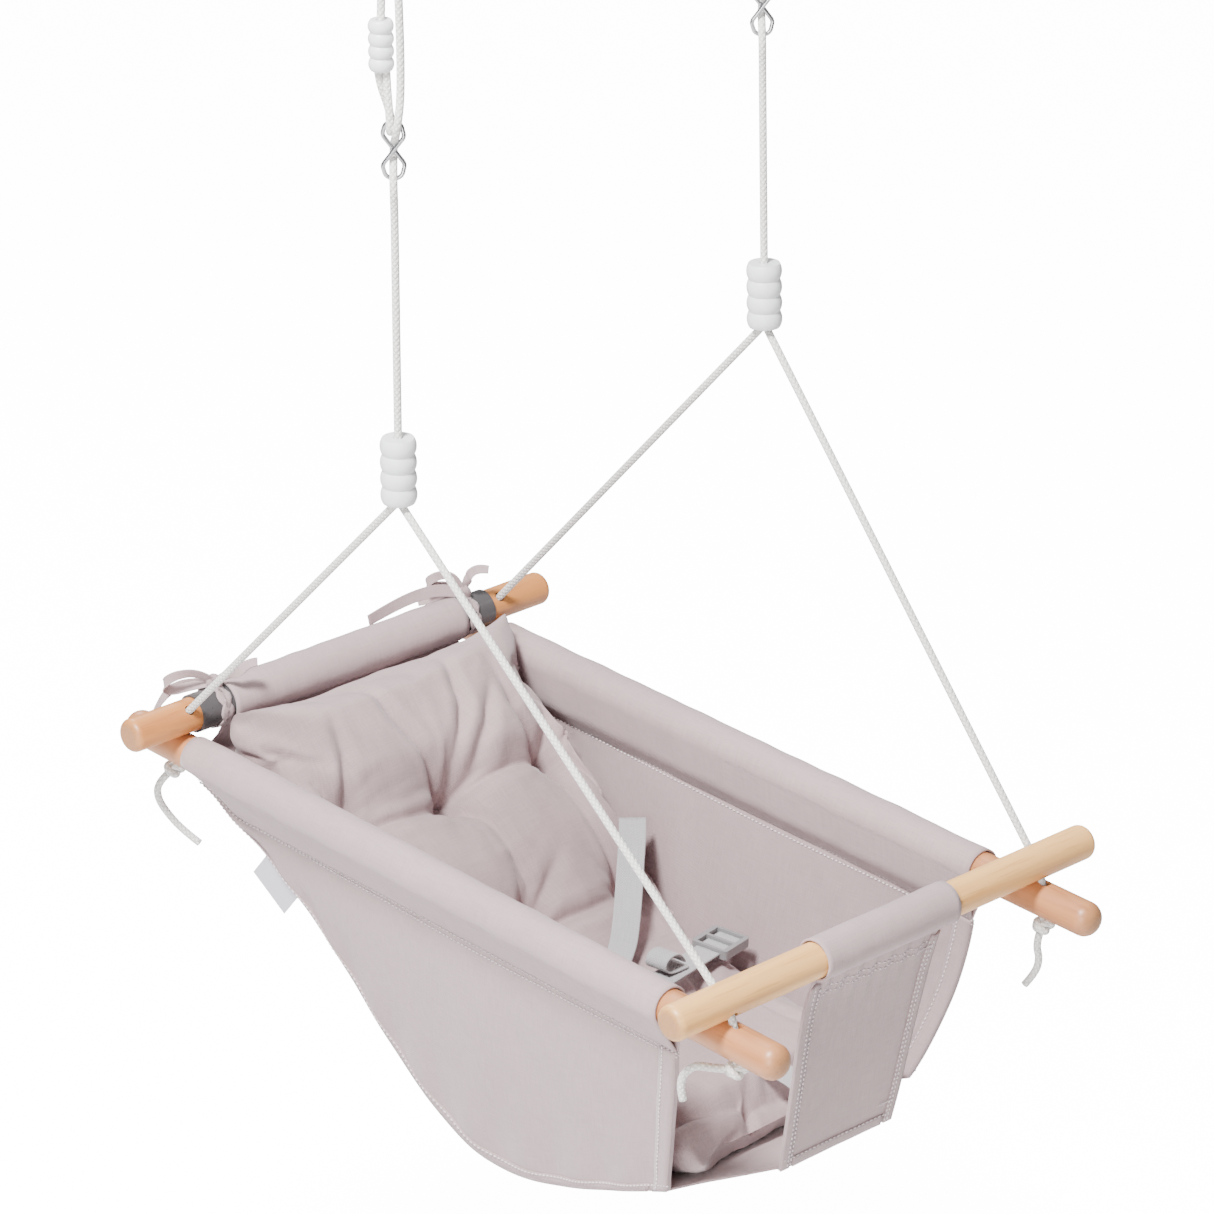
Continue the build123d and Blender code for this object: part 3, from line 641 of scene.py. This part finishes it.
def side_panel(side):
    sign = SIDES[side]
    seam = nurbs_points([Vector((0, y, z)) * MM for y, z in SEAM + [SEAM_REAR]])
    bottom = resample(seam, PANEL_COLUMNS)
    columns = [step / (PANEL_COLUMNS - 1) for step in range(PANEL_COLUMNS)]
    tops = [SLEEVE_ENDS[0] + (SLEEVE_ENDS[1] - SLEEVE_ENDS[0]) * s for s in columns]
    ends = [(RAIL_Z - foot.z) / math.cos(LEAN) for foot in bottom]
    seam_shares = [min(1.0, (end - 0.0025) / SEAM_DEPTH) for end in ends]
    rows = []
    for out, depth in sleeve_outline():
        row = []
        for y, seam_share in zip(tops, seam_shares):
            loose = 1 + 0.05 * noise.noise(Vector((y * 40 + depth * 30, out * 90, 3 + sign)))
            down = depth * (seam_share if depth > 0 else 1) * (loose if depth < SEAM_DEPTH * 0.9 else 1)
            row.append(side_place(side, y, down, out * loose))
        rows.append(row)
    for step in range(PANEL_ROWS + 1):
        share = step / PANEL_ROWS
        row = []
        for s, y_top, foot, depth_end, seam_share in zip(columns, tops, bottom, ends, seam_shares):
            seam_depth = SEAM_DEPTH * seam_share
            depth = seam_depth + (depth_end - seam_depth) * share
            y = y_top + (foot.y - y_top) * share
            fade = math.sin(math.pi * min(share * 0.96 + 0.02, 1)) ** 0.6
            belly = 0.0045 * math.sin(math.pi * share) * math.sin(math.pi * s)
            pull = 0.0020 * smooth_step(share, 0.5, 1.0) * math.sin(s * 60 + share * 3)
            pull *= smooth_step(share, 1.02, 0.9)
            out = belly + fade * wrinkle(11 + sign, y, depth, 0.0030) + pull
            if side == "right":
                out += 0.013 * math.sin(math.pi * share) ** 0.8 * smooth_step(s, 0.55, 0.0)
            row.append(side_place(side, y, depth, out))
        rows.append(row)
    piece = cloth_sheet(f"{side}_canvas_panel", rows, CANVAS_T)
    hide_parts(f"{side}_side_panel")
    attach(piece, "seat")
    return rows


def stitch_line(name, path, normal, pitch=3.8 * MM, length=3.0 * MM, thick=0.70 * MM, lift=1.0 * MM):
    """A row of thread stitches lying along path."""
    total = sum((b - a).length for a, b in zip(path, path[1:]))
    places = resample(path, max(int(total / pitch), 2))
    verts, faces, uvs = [], [], []
    for here, after in zip(places, places[1:]):
        way = (after - here).normalized()
        side = way.cross(normal).normalized() * thick
        rise = normal * thick
        middle = here + normal * lift
        base = len(verts)
        verts += [middle - way * length / 2, middle + side - way * length / 5,
                  middle + rise - way * length / 5, middle - side - way * length / 5,
                  middle + side + way * length / 5, middle + rise + way * length / 5,
                  middle - side + way * length / 5, middle + way * length / 2]
        uvs += [(0.0, 0.0)] * 8
        faces += [(base, base + 1, base + 2), (base, base + 2, base + 3), (base + 7, base + 5, base + 4),
                  (base + 7, base + 6, base + 5), (base + 1, base + 4, base + 5, base + 2),
                  (base + 2, base + 5, base + 6, base + 3), (base, base + 3, base + 1),
                  (base + 7, base + 4, base + 6), (base + 1, base + 3, base + 6, base + 4)]
    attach(paint(link_mesh(name, verts, faces, uvs), "thread"), "seat")


def hem_band(name, rows, normal, rise=1.3 * MM):
    """The folded edge of a panel: a second layer that stands proud of the cloth."""
    band = [[point + normal * rise for point in row] for row in rows]
    piece = cloth_sheet(name, band, CANVAS_T)
    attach(piece, "seat")


def side_stitching(side, rows):
    normal = side_normal(side)
    sleeve_rows = len(sleeve_outline())
    panel = rows[sleeve_rows:]
    for layer, way in (("out", normal), ("in", -normal)):
        hem_band(f"{side}_front_hem_{layer}", [row[0:4] for row in panel], way)
        hem_band(f"{side}_bottom_hem_{layer}", [row[4:] for row in panel[-3:]], way, 0.9 * MM)
    for number, row in enumerate((sleeve_rows, sleeve_rows + 1)):
        stitch_line(f"{side}_sleeve_stitch_{number}", rows[row], normal)
        stitch_line(f"{side}_sleeve_stitch_in_{number}", rows[row], -normal)
    hem = [row[2].lerp(row[3], 0.4) for row in panel]
    stitch_line(f"{side}_hem_stitch", hem, normal, lift=2.2 * MM)
    stitch_line(f"{side}_hem_stitch_in", hem, -normal, lift=2.2 * MM)
    bottom = [a.lerp(b, 0.3) for a, b in zip(rows[-3], rows[-2])]
    stitch_line(f"{side}_bottom_stitch", bottom, normal, lift=1.7 * MM)


def bar_sleeve(y, z, radius, steps=20):
    """Points (y, z) round a crossbar, starting and ending under it."""
    return [(y + radius * math.sin(2 * math.pi * step / steps),
             z - radius * math.cos(2 * math.pi * step / steps)) for step in range(steps + 1)]


def inside_panels(z, gap=0.0015):
    return 0.150 - (RAIL_Z - z) * math.tan(LEAN) - gap


def hung_cloth(profile, half_width, columns, folds):
    """Canvas across the seat: profile is a list of (y, z) and half_width a function of its index."""
    rows = []
    for index, (y, z) in enumerate(profile):
        before = profile[max(index - 1, 0)]
        after = profile[min(index + 1, len(profile) - 1)]
        way = Vector((0, after[0] - before[0], after[1] - before[1])).normalized()
        normal = Vector((1, 0, 0)).cross(way)
        half = half_width(index)
        row = []
        for column in range(columns):
            across = 2 * column / (columns - 1) - 1
            x = half * across
            row.append(Vector((x, y, z)) + normal * folds(index, x, across))
        rows.append(row)
    return rows


def seat_panel():
    sleeve = bar_sleeve(BAR_Y["rear"], BAR_Z, 0.0160)[::-1]
    hang = nurbs_points([Vector((0, y, z)) * MM for y, z in
                         [(236.5, -721), (236, -745), *SEAM[::-1], (-270, -888), (-283, -884)]])
    hang = [(p.y, p.z) for p in resample(hang, 90)]
    profile = sleeve + hang[1:]

    def half_width(index):
        y, z = profile[index]
        if index < len(sleeve):
            return 0.112
        if y > 0.2 and z > -0.745:
            return 0.112 + 0.0335 * smooth_step(-z, 0.722, 0.745)
        wide = inside_panels(z)
        if y < -0.236:
            return wide + (0.054 - wide) * min((-0.236 - y) / 0.047, 1.0)
        return wide

    def folds(index, x, across):
        if index < len(sleeve):
            return 0.0006 * noise.noise(Vector((x * 60, index * 0.4, 2)))
        share = (index - len(sleeve)) / (len(profile) - len(sleeve))
        edge = (1 - abs(across)) ** 0.4
        return edge * (wrinkle(31, x, share * 0.6, 0.0022) - 0.003 * math.sin(math.pi * share))

    rows = hung_cloth(profile, half_width, 56, folds)
    piece = cloth_sheet("seat_canvas", rows, CANVAS_T)
    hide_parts("seat_panel")
    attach(piece, "seat")


def crotch_panel():
    sleeve = bar_sleeve(BAR_Y["front"], BAR_Z, 0.0143)
    hang = nurbs_points([Vector((0, y, z)) * MM for y, z in
                         [(-318.5, -719.3), (-311, -738), (-301, -790), (-292, -840), (-286, -872),
                          (-283, -886)]])
    hang = [(p.y, p.z) for p in resample(hang, 60)]
    profile = sleeve + hang[1:]

    def half_width(index):
        share = max(0, index - len(sleeve)) / (len(profile) - len(sleeve))
        return 0.0630 - 0.0090 * share ** 0.8

    def folds(index, x, across):
        share = max(0, index - len(sleeve)) / (len(profile) - len(sleeve))
        if index < len(sleeve):
            return 0.0005 * noise.noise(Vector((x * 50, index * 0.5, 9)))
        hem = 0.0006 if abs(across) > 0.84 else 0.0
        gather = 0.0016 * math.exp(-share * 6) * math.sin(x * 420)
        return wrinkle(51, x, share * 0.2, 0.0016) * smooth_step(share, 0.0, 0.15) + gather + hem

    rows = hung_cloth(profile, half_width, 40, folds)
    for index, row in enumerate(rows):
        shift = -0.003 * smooth_step(index, len(rows), len(sleeve))
        row[:] = [point + Vector((shift, 0, 0)) for point in row]
    piece = cloth_sheet("crotch_canvas", rows, CANVAS_T)
    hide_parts("crotch_panel")
    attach(piece, "seat")
    front = Vector((0, -0.98, -0.17)).normalized()
    first = len(sleeve) + 4
    for number, row in enumerate((first, first + 2)):
        stitch_line(f"crotch_top_stitch_{number}", rows[row][1:-1], front)
    for number, columns in enumerate((slice(0, 4), slice(-4, None))):
        hem_band(f"crotch_side_hem_{number}", [row[columns] for row in rows[first - 2:]], front)
    hem_band("crotch_foot_hem", [row[4:-4] for row in rows[-4:]], front, 1.0 * MM)
    for number, column in enumerate((2, 3, -4, -3)):
        stitch_line(f"crotch_side_stitch_{number}", [row[column] for row in rows[first:]], front, lift=2.2 * MM)
    stitch_line("crotch_foot_stitch", rows[-4][1:-1], front, lift=1.8 * MM)
    for number, row in enumerate((first + 1, -8)):
        bar = [rows[row][-3].lerp(rows[row][-8], step / 6) for step in range(7)]
        stitch_line(f"crotch_bar_tack_{number}", bar, front, 1.4 * MM, 1.6 * MM, 0.6 * MM, 2.2 * MM)


side_rows = {side: side_panel(side) for side in SIDES}
for side in SIDES:
    side_stitching(side, side_rows[side])
seat_panel()
crotch_panel()


# ---------------- padded cushion
CUSHION_VOXEL = 0.005
SWELL_FRAMES = 20
SWELL_CAP = 0.016
BACK_TOP = Vector((0, 0.205, -0.682))
BACK_FOOT = Vector((0, -0.018, -0.861))
BACK_WAY = (BACK_FOOT - BACK_TOP).normalized()
BACK_NORMAL = Vector((0, BACK_WAY.z, -BACK_WAY.y))
# Tufts and the creases that run from them, on the back (x, y) and on the seat (x, y), in mm.
BACK_TUFTS = [(-98, 109), (3, 107), (100, 108), (-95, 18), (5, 18), (98, 18)]
BACK_CREASES = [
    [(3, 107), (9, 113), (27, 129), (38, 143), (43, 160), (48, 180)],
    [(3, 107), (-8, 124), (-22, 150), (-30, 182)],
    [(4, 108), (31, 117), (49, 126), (72, 150)],
    [(4, 108), (29, 110), (65, 112), (98, 109)],
    [(2, 107), (-20, 104), (-44, 104), (-70, 106), (-98, 109)],
    [(3, 107), (13, 97), (17, 80), (17, 66), (18, 42), (5, 18)],
    [(-98, 109), (-85, 122), (-77, 140), (-74, 158)],
    [(-98, 110), (-100, 132), (-106, 156)],
    [(-98, 109), (-90, 80), (-92, 50), (-95, 18)],
    [(-98, 109), (-78, 88), (-62, 76)],
    [(5, 18), (9, 38), (11, 54)],
    [(5, 18), (25, 34), (47, 48)],
    [(5, 18), (-20, 30), (-48, 36)],
    [(5, 18), (52, 14), (98, 18)],
    [(5, 18), (-44, 13), (-95, 18)],
    [(5, 18), (12, 0), (22, -14)],
    [(100, 108), (94, 62), (98, 18)],
    [(100, 108), (84, 130), (80, 160)],
    [(100, 108), (112, 124), (122, 146)],
]
SEAT_TUFTS = [(-58, -105), (58, -105)]
SEAT_CREASES = [
    [(-58, -105), (0, -101), (58, -105)],
    [(-58, -105), (-70, -66), (-66, -30)],
    [(58, -105), (70, -66), (66, -30)],
    [(-58, -105), (-64, -150), (-58, -196)],
    [(58, -105), (64, -150), (60, -196)],
    [(-58, -105), (-84, -112), (-104, -108)],
    [(58, -105), (84, -112), (104, -108)],
    [(-112, -212), (-60, -226), (0, -229), (60, -226), (112, -212)],
    [(-34, -229), (-40, -244), (-38, -258)],
    [(12, -231), (18, -246), (14, -260)],
    [(52, -228), (60, -242), (62, -256)],
]


def to_segment(x, y, first, last):
    """Distance from (x, y) to a segment."""
    run_x, run_y = last[0] - first[0], last[1] - first[1]
    share = ((x - first[0]) * run_x + (y - first[1]) * run_y) / (run_x * run_x + run_y * run_y)
    share = min(max(share, 0.0), 1.0)
    return math.hypot(x - first[0] - run_x * share, y - first[1] - run_y * share)


def pulled_in(x, y, tufts, creases):
    """Depth in mm that stitching pulls a padded face in at (x, y)."""
    depth = 0.0
    nearest = min(math.hypot(x - a, y - b) for a, b in tufts)
    depth += 19.0 * math.exp(-(nearest / 13.0) ** 2) + 9.0 * math.exp(-(nearest / 34.0) ** 2)
    for crease in creases:
        gap = min(to_segment(x, y, a, b) for a, b in zip(crease, crease[1:]))
        if gap > 26.0:
            continue
        end = math.hypot(x - crease[-1][0], y - crease[-1][1])
        start = math.hypot(x - crease[0][0], y - crease[0][1])
        fade = min(1.0, 0.25 + end / 34.0) * (0.55 + 0.45 * math.exp(-start / 60.0))
        depth += fade * (6.4 * math.exp(-(gap / 2.9) ** 2) + 5.4 * math.exp(-(gap / 11.0) ** 2))
        depth -= fade * 2.2 * math.exp(-((gap - 9.0) / 4.5) ** 2)
    return depth


def gather(x, y, tufts):
    """Fine folds, in mm, that fan out from each tuft and fade away from it."""
    height = 0.0
    for number, (a, b) in enumerate(tufts):
        reach = math.hypot(x - a, y - b)
        if 3.0 < reach < 60.0:
            turn = math.atan2(y - b, x - a)
            spot = (math.cos(turn) * 3.1, math.sin(turn) * 3.1, number * 5.0 + reach * 0.012)
            wave = noise.noise(Vector(spot))
            height += 5.2 * wave * math.exp(-reach / 26.0) * min(1.0, reach / 10.0)
    return height


def shape_face(co, normal):
    """Where a point of the plump cushion goes once its tufts and creases are pulled in."""
    on_back = smooth_step(co.y, -0.045, -0.010) * smooth_step(normal.dot(BACK_NORMAL), 0.25, 0.75)
    on_seat = smooth_step(co.y, -0.015, -0.040) * smooth_step(normal.z, 0.25, 0.75)
    x, y = co.x / MM, co.y / MM
    moved = co.copy()
    if on_back > 0.0:
        depth = pulled_in(x, y, BACK_TUFTS, BACK_CREASES) - gather(x, y, BACK_TUFTS)
        moved -= BACK_NORMAL * depth * on_back * MM
    if on_seat > 0.0:
        depth = 0.75 * pulled_in(x, y, SEAT_TUFTS, SEAT_CREASES) - gather(x, y, SEAT_TUFTS)
        moved -= Vector((0, 0, depth * on_seat * MM))
    broad = noise.noise(Vector((co.x * 22, co.y * 22, co.z * 22 + 3)))
    narrow = noise.noise(Vector((co.x * 60, co.y * 38, co.z * 38 + 9)))
    return moved + normal * (1.5 * broad + 0.9 * narrow) * MM


def keep_inside(co):
    """The nearest place where the cushion is clear of the panels, the seat canvas and the rear bar."""
    floor_z = SEAT_FLOOR[min(max(int((co.y + 0.30) / 0.002), 0), len(SEAT_FLOOR) - 1)]
    co.z = max(co.z, floor_z)
    reach = inside_panels(co.z, 0.0042)
    if abs(co.z - RAIL_Z) < 0.0165:
        reach = min(reach, 0.150 - math.sqrt(max(0.0165 ** 2 - (co.z - RAIL_Z) ** 2, 0.0)))
    if co.z < -0.714:
        co.x = max(-reach, min(reach, co.x))
    bar = Vector((0, co.y - BAR_Y["rear"], co.z - BAR_Z))
    if bar.length < 0.0185 and abs(co.x) < 0.145:
        bar = bar.normalized() * 0.0185
        co.y, co.z = BAR_Y["rear"] + bar.y, BAR_Z + bar.z
    return co


def seat_floor():
    """Lowest height of the cushion at each 2 mm of depth, just above the seat canvas."""
    path = nurbs_points([Vector((0, y, z)) * MM for y, z in [(-283, -884), (-270, -888)] + SEAM
                         + [(236, -745), (236.5, -721)]])
    heights = []
    for step in range(270):
        y = -0.30 + step * 0.002
        height = -1.0
        for before, after in zip(path, path[1:]):
            if before.y <= y <= after.y and after.y > before.y:
                share = (y - before.y) / (after.y - before.y)
                slope = (after.z - before.z) / (after.y - before.y)
                height = before.z + (after.z - before.z) * share + 0.0042 * math.hypot(1.0, slope)
        heights.append(height)
    return heights


SEAT_FLOOR = seat_floor()


def swell(piece):
    """Blow the padded shape up a little, held at its tufts, and keep the result."""
    starts = [vertex.co.copy() for vertex in piece.data.vertices]
    cloth = piece.modifiers.new("cloth", "CLOTH")
    settings = cloth.settings
    settings.use_pressure = True
    settings.uniform_pressure_force = 4.0
    settings.vertex_group_mass = "pins"
    settings.effector_weights.gravity = 0.0
    settings.tension_stiffness = 12
    settings.compression_stiffness = 12
    settings.bending_stiffness = 0.25
    settings.quality = 5
    for number in range(1, SWELL_FRAMES + 1):
        bpy.context.scene.frame_set(number)
    apply_modifiers(piece)
    bpy.context.scene.frame_set(1)
    for vertex, start in zip(piece.data.vertices, starts):
        moved = vertex.co - start
        if moved.length > SWELL_CAP:
            vertex.co = start + moved.normalized() * SWELL_CAP


def cushion():
    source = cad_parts["cushion"]
    piece = bpy.data.objects.new("padded_cushion", source.data.copy())
    bpy.context.scene.collection.objects.link(piece)
    remesh = piece.modifiers.new("remesh", "REMESH")
    remesh.mode = "VOXEL"
    remesh.voxel_size = CUSHION_VOXEL
    smooth = piece.modifiers.new("round_over", "SMOOTH")
    smooth.factor = 0.5
    smooth.iterations = 12
    apply_modifiers(piece)
    pins = piece.vertex_groups.new(name="pins")
    for vertex in piece.data.vertices:
        co = vertex.co
        x, y = co.x / MM, co.y / MM
        tufts = BACK_TUFTS if co.y > -0.02 else SEAT_TUFTS
        if vertex.normal.z > 0.3 and min(math.hypot(x - a, y - b) for a, b in tufts) < 9.0:
            pins.add([vertex.index], 1.0, "REPLACE")
        if math.hypot(co.y - BACK_FOOT.y, co.z - BACK_FOOT.z) < 0.008:
            pins.add([vertex.index], 1.0, "REPLACE")
        vertex.co = co - vertex.normal * 0.003
    swell(piece)
    finer = piece.modifiers.new("finer", "SUBSURF")
    finer.levels = finer.render_levels = 1
    apply_modifiers(piece)
    for vertex, normal in [(v, v.normal.copy()) for v in piece.data.vertices]:
        vertex.co = shape_face(vertex.co, normal)
    soften = piece.modifiers.new("soften", "SMOOTH")
    soften.factor = 0.4
    soften.iterations = 1
    apply_modifiers(piece)
    for vertex in piece.data.vertices:
        vertex.co = keep_inside(vertex.co)
    piece.data.polygons.foreach_set("use_smooth", [True] * len(piece.data.polygons))
    layer = piece.data.uv_layers.new(name="UVMap")
    for loop in piece.data.loops:
        co = piece.data.vertices[loop.vertex_index].co
        layer.data[loop.index].uv = (co.x, co.dot(BACK_WAY) if co.y > -0.018 else co.y)
    paint(piece, "canvas_cushion")
    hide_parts("cushion")
    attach(piece, "seat")


cushion()


# ---------------- harness and ties
def tape(name, points, width_way, width, thickness, look, count=40, node=None):
    """Flat webbing along a smooth line; width_way is one direction, or one for each end."""
    line = resample(nurbs_points(points), count)
    first, last = width_way if isinstance(width_way, tuple) else (width_way, width_way)
    rows = []
    for index, point in enumerate(line):
        share = index / (count - 1)
        way = (line[min(index + 1, count - 1)] - line[max(index - 1, 0)]).normalized()
        across = first.lerp(last, share)
        across = (across - way * across.dot(way)).normalized() * width / 2
        rows.append([point - across, point - across * 0.9, point, point + across * 0.9, point + across])
    piece = cloth_sheet(name, rows, thickness, look)
    if node:
        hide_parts(node)
    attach(piece, "seat")
    return piece


HARNESS_Z = -0.8543
WEBBING_W = 0.020
WEBBING_T = 1.5 * MM


def harness(side):
    sign = SIDES[side]
    run = Vector((-sign * 102, -97, 0)).normalized()
    across = Vector((run.y, -run.x, 0))
    top = [Vector((sign * x, y, z)) * MM for x, y, z in
           [(116, 44, -800), (110, 37, -804), (91, 19, -822), (64, -7, -841), (38, -30, HARNESS_Z / MM),
            (12, -46, HARNESS_Z / MM)]]
    tape(f"{side}_shoulder_webbing", top, across, WEBBING_W, WEBBING_T, "webbing",
         node=f"{side}_shoulder_strap")
    waist_way = Vector((-sign * 92, -16, 0)).normalized()
    flat = Vector((waist_way.y, -waist_way.x, 0))
    waist = [Vector((sign * 119, -62, HARNESS_Z / MM)) * MM, Vector((sign * 73, -70, HARNESS_Z / MM)) * MM,
             Vector((sign * 26, -78, HARNESS_Z / MM)) * MM]
    tape(f"{side}_waist_webbing", waist, flat, WEBBING_W, WEBBING_T, "webbing", node=f"{side}_waist_strap")
    loop = [Vector((sign * x, y, z)) * MM for x, y, z in
            [(56, -70.5, -851.9), (46, -71, -851.7), (36, -71, -850.8), (30.5, -71, -845.5), (34, -70.5, -839),
             (44, -69.5, -838), (51, -68.5, -843), (54, -68, -848.5)]]
    tape(f"{side}_loose_webbing", loop, flat, WEBBING_W * 0.9, WEBBING_T * 0.8, "webbing")


def crotch_webbing():
    points = [Vector((0, y, z)) * MM for y, z in
              [(-101, -854.3), (-170, -853.5), (-225, -851.5), (-252, -853), (-269, -863), (-272, -876),
               (-271, -884)]]
    tape("crotch_webbing", points, Vector((1, 0, 0)), WEBBING_W, WEBBING_T, "webbing", node="crotch_strap")


BOWS = {
    "left": [[(0, 0, 0), (-10, 4, 9), (-27, 6, 8), (-38, 2, -2), (-33, -2, -10), (-18, -3, -5), (0, 0, 0)],
             [(0, 0, 0), (-16, -6, -3), (-31, -8, -9), (-40, -9, -20), (-45, -10, -31)],
             [(0, 0, 0), (9, 0, 7), (17, 2, 8), (24, 0, 16), (31, 0, 17)]],
    "right": [[(0, 0, 0), (-5, 3, 12), (-14, 5, 17), (-26, 3, 11), (-28, 0, 1), (-14, -2, 6), (0, 0, 0)],
              [(0, 0, 0), (3, 0, 9), (5, 2, 17), (12, 0, 20), (19, 0, 19)],
              [(0, 0, 0), (-9, -3, -3), (-22, -5, -8), (-34, -4, -11)]],
}
TIE_X = 0.120
TIE_W = 7 * MM


def cushion_tie(side):
    knot_at = Vector((SIDES[side] * TIE_X, BAR_Y["rear"], BAR_Z + 0.0189))
    up = Vector((0, 0, 1))
    for number, steps in enumerate(BOWS[side]):
        points = [knot_at + (ACROSS * a + OUTWARD * o + up * z) * MM for a, o, z in steps]
        lean = (up * 0.9 + OUTWARD * 0.5, up * 0.5 - OUTWARD * 0.8)
        piece = tape(f"{side}_tie_tape_{number}", points, lean, TIE_W, 0.9 * MM, "canvas")
        if not number:
            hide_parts(f"{side}_cushion_tie")
    if side == "right":
        long_end = [Vector(place) * MM for place in
                    [(118, 238, -686), (104, 243, -681), (84, 248, -682), (62, 251, -686), (40, 252, -691)]]
        tape("right_tie_long_end", long_end, (up * 0.8 - OUTWARD * 0.6, up), TIE_W * 1.3, 0.9 * MM, "canvas")
    wraps = bar_sleeve(BAR_Y["rear"], BAR_Z, 0.0153, 28)
    for number, shift in enumerate((-0.0025, 0.0025)):
        rows = []
        for index, (y, z) in enumerate(wraps):
            middle = SIDES[side] * TIE_X + shift * math.cos(index * 0.9)
            rows.append([Vector((middle + step * TIE_W / 2, y, z)) for step in (-1, -0.4, 0.4, 1)])
        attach(cloth_sheet(f"{side}_tie_wrap_{number}", rows, 0.9 * MM), "seat")
    knot_path = []
    for step in range(41):
        angle = 2 * math.pi * step / 40
        knot_path.append(knot_at + ACROSS * 3.2 * MM * math.cos(angle) + up * 3.4 * MM * math.sin(angle)
                         + OUTWARD * 1.2 * MM * math.sin(2 * angle))
    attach(paint(tube(f"{side}_tie_knot", knot_path, 3.0 * MM), "canvas"), "seat")


for side in SIDES:
    harness(side)
    cushion_tie(side)
crotch_webbing()


# ---------------- floor and light
FLOOR_Z = -1.30


def floor():
    bpy.ops.object.select_all(action="DESELECT")
    bpy.ops.mesh.primitive_plane_add(size=30.0, location=(0, 0, FLOOR_Z))
    ground = bpy.context.object
    ground.name = "floor"
    material, shader, surface, place = new_material("floor_paper", (0.9, 0.9, 0.9))
    tone = shader.noise(place.outputs["Object"], 0.6, 2.0)
    paper = shader.mix(tone, (0.90, 0.90, 0.90, 1.0), (0.94, 0.94, 0.94, 1.0))
    shader.link(paper, surface.inputs["Base Color"])
    surface.inputs["Roughness"].default_value = 0.9
    surface.inputs["Emission Color"].default_value = (1.0, 1.0, 1.0, 1.0)
    seen = shader.node("ShaderNodeLightPath").outputs["Is Camera Ray"]
    shader.link(shader.math("MULTIPLY_ADD", seen, 14.0, 0.05), surface.inputs["Emission Strength"])
    ground.data.materials.append(material)


def area_light(name, place, target, size, power, colour=(1, 1, 1)):
    lamp = bpy.data.lights.new(name, "AREA")
    lamp.shape = "SQUARE"
    lamp.size = size
    lamp.energy = power
    lamp.color = colour
    holder = bpy.data.objects.new(name, lamp)
    bpy.context.scene.collection.objects.link(holder)
    holder.location = place
    holder.rotation_euler = (Vector(target) - Vector(place)).to_track_quat("-Z", "Y").to_euler()


def lights():
    world = bpy.data.worlds.new("studio")
    world.use_nodes = True
    shader = Shader(world.node_tree)
    backdrop = world.node_tree.nodes["Background"]
    backdrop.inputs[0].default_value = (1.0, 1.0, 1.0, 1.0)
    seen = shader.node("ShaderNodeLightPath").outputs["Is Camera Ray"]
    shader.link(shader.math("MULTIPLY_ADD", seen, 13.6, 0.34), backdrop.inputs[1])
    bpy.context.scene.world = world
    area_light("key", (-1.3, -0.3, 1.5), (0, 0, -0.8), 0.5, 195.0)
    area_light("left_fill", (-2.4, -1.6, 0.1), (0, 0, -0.8), 1.2, 66.0)
    area_light("rear_top", (0.7, 2.0, 1.0), (0, 0, -0.7), 0.8, 42.0)


floor()
lights()
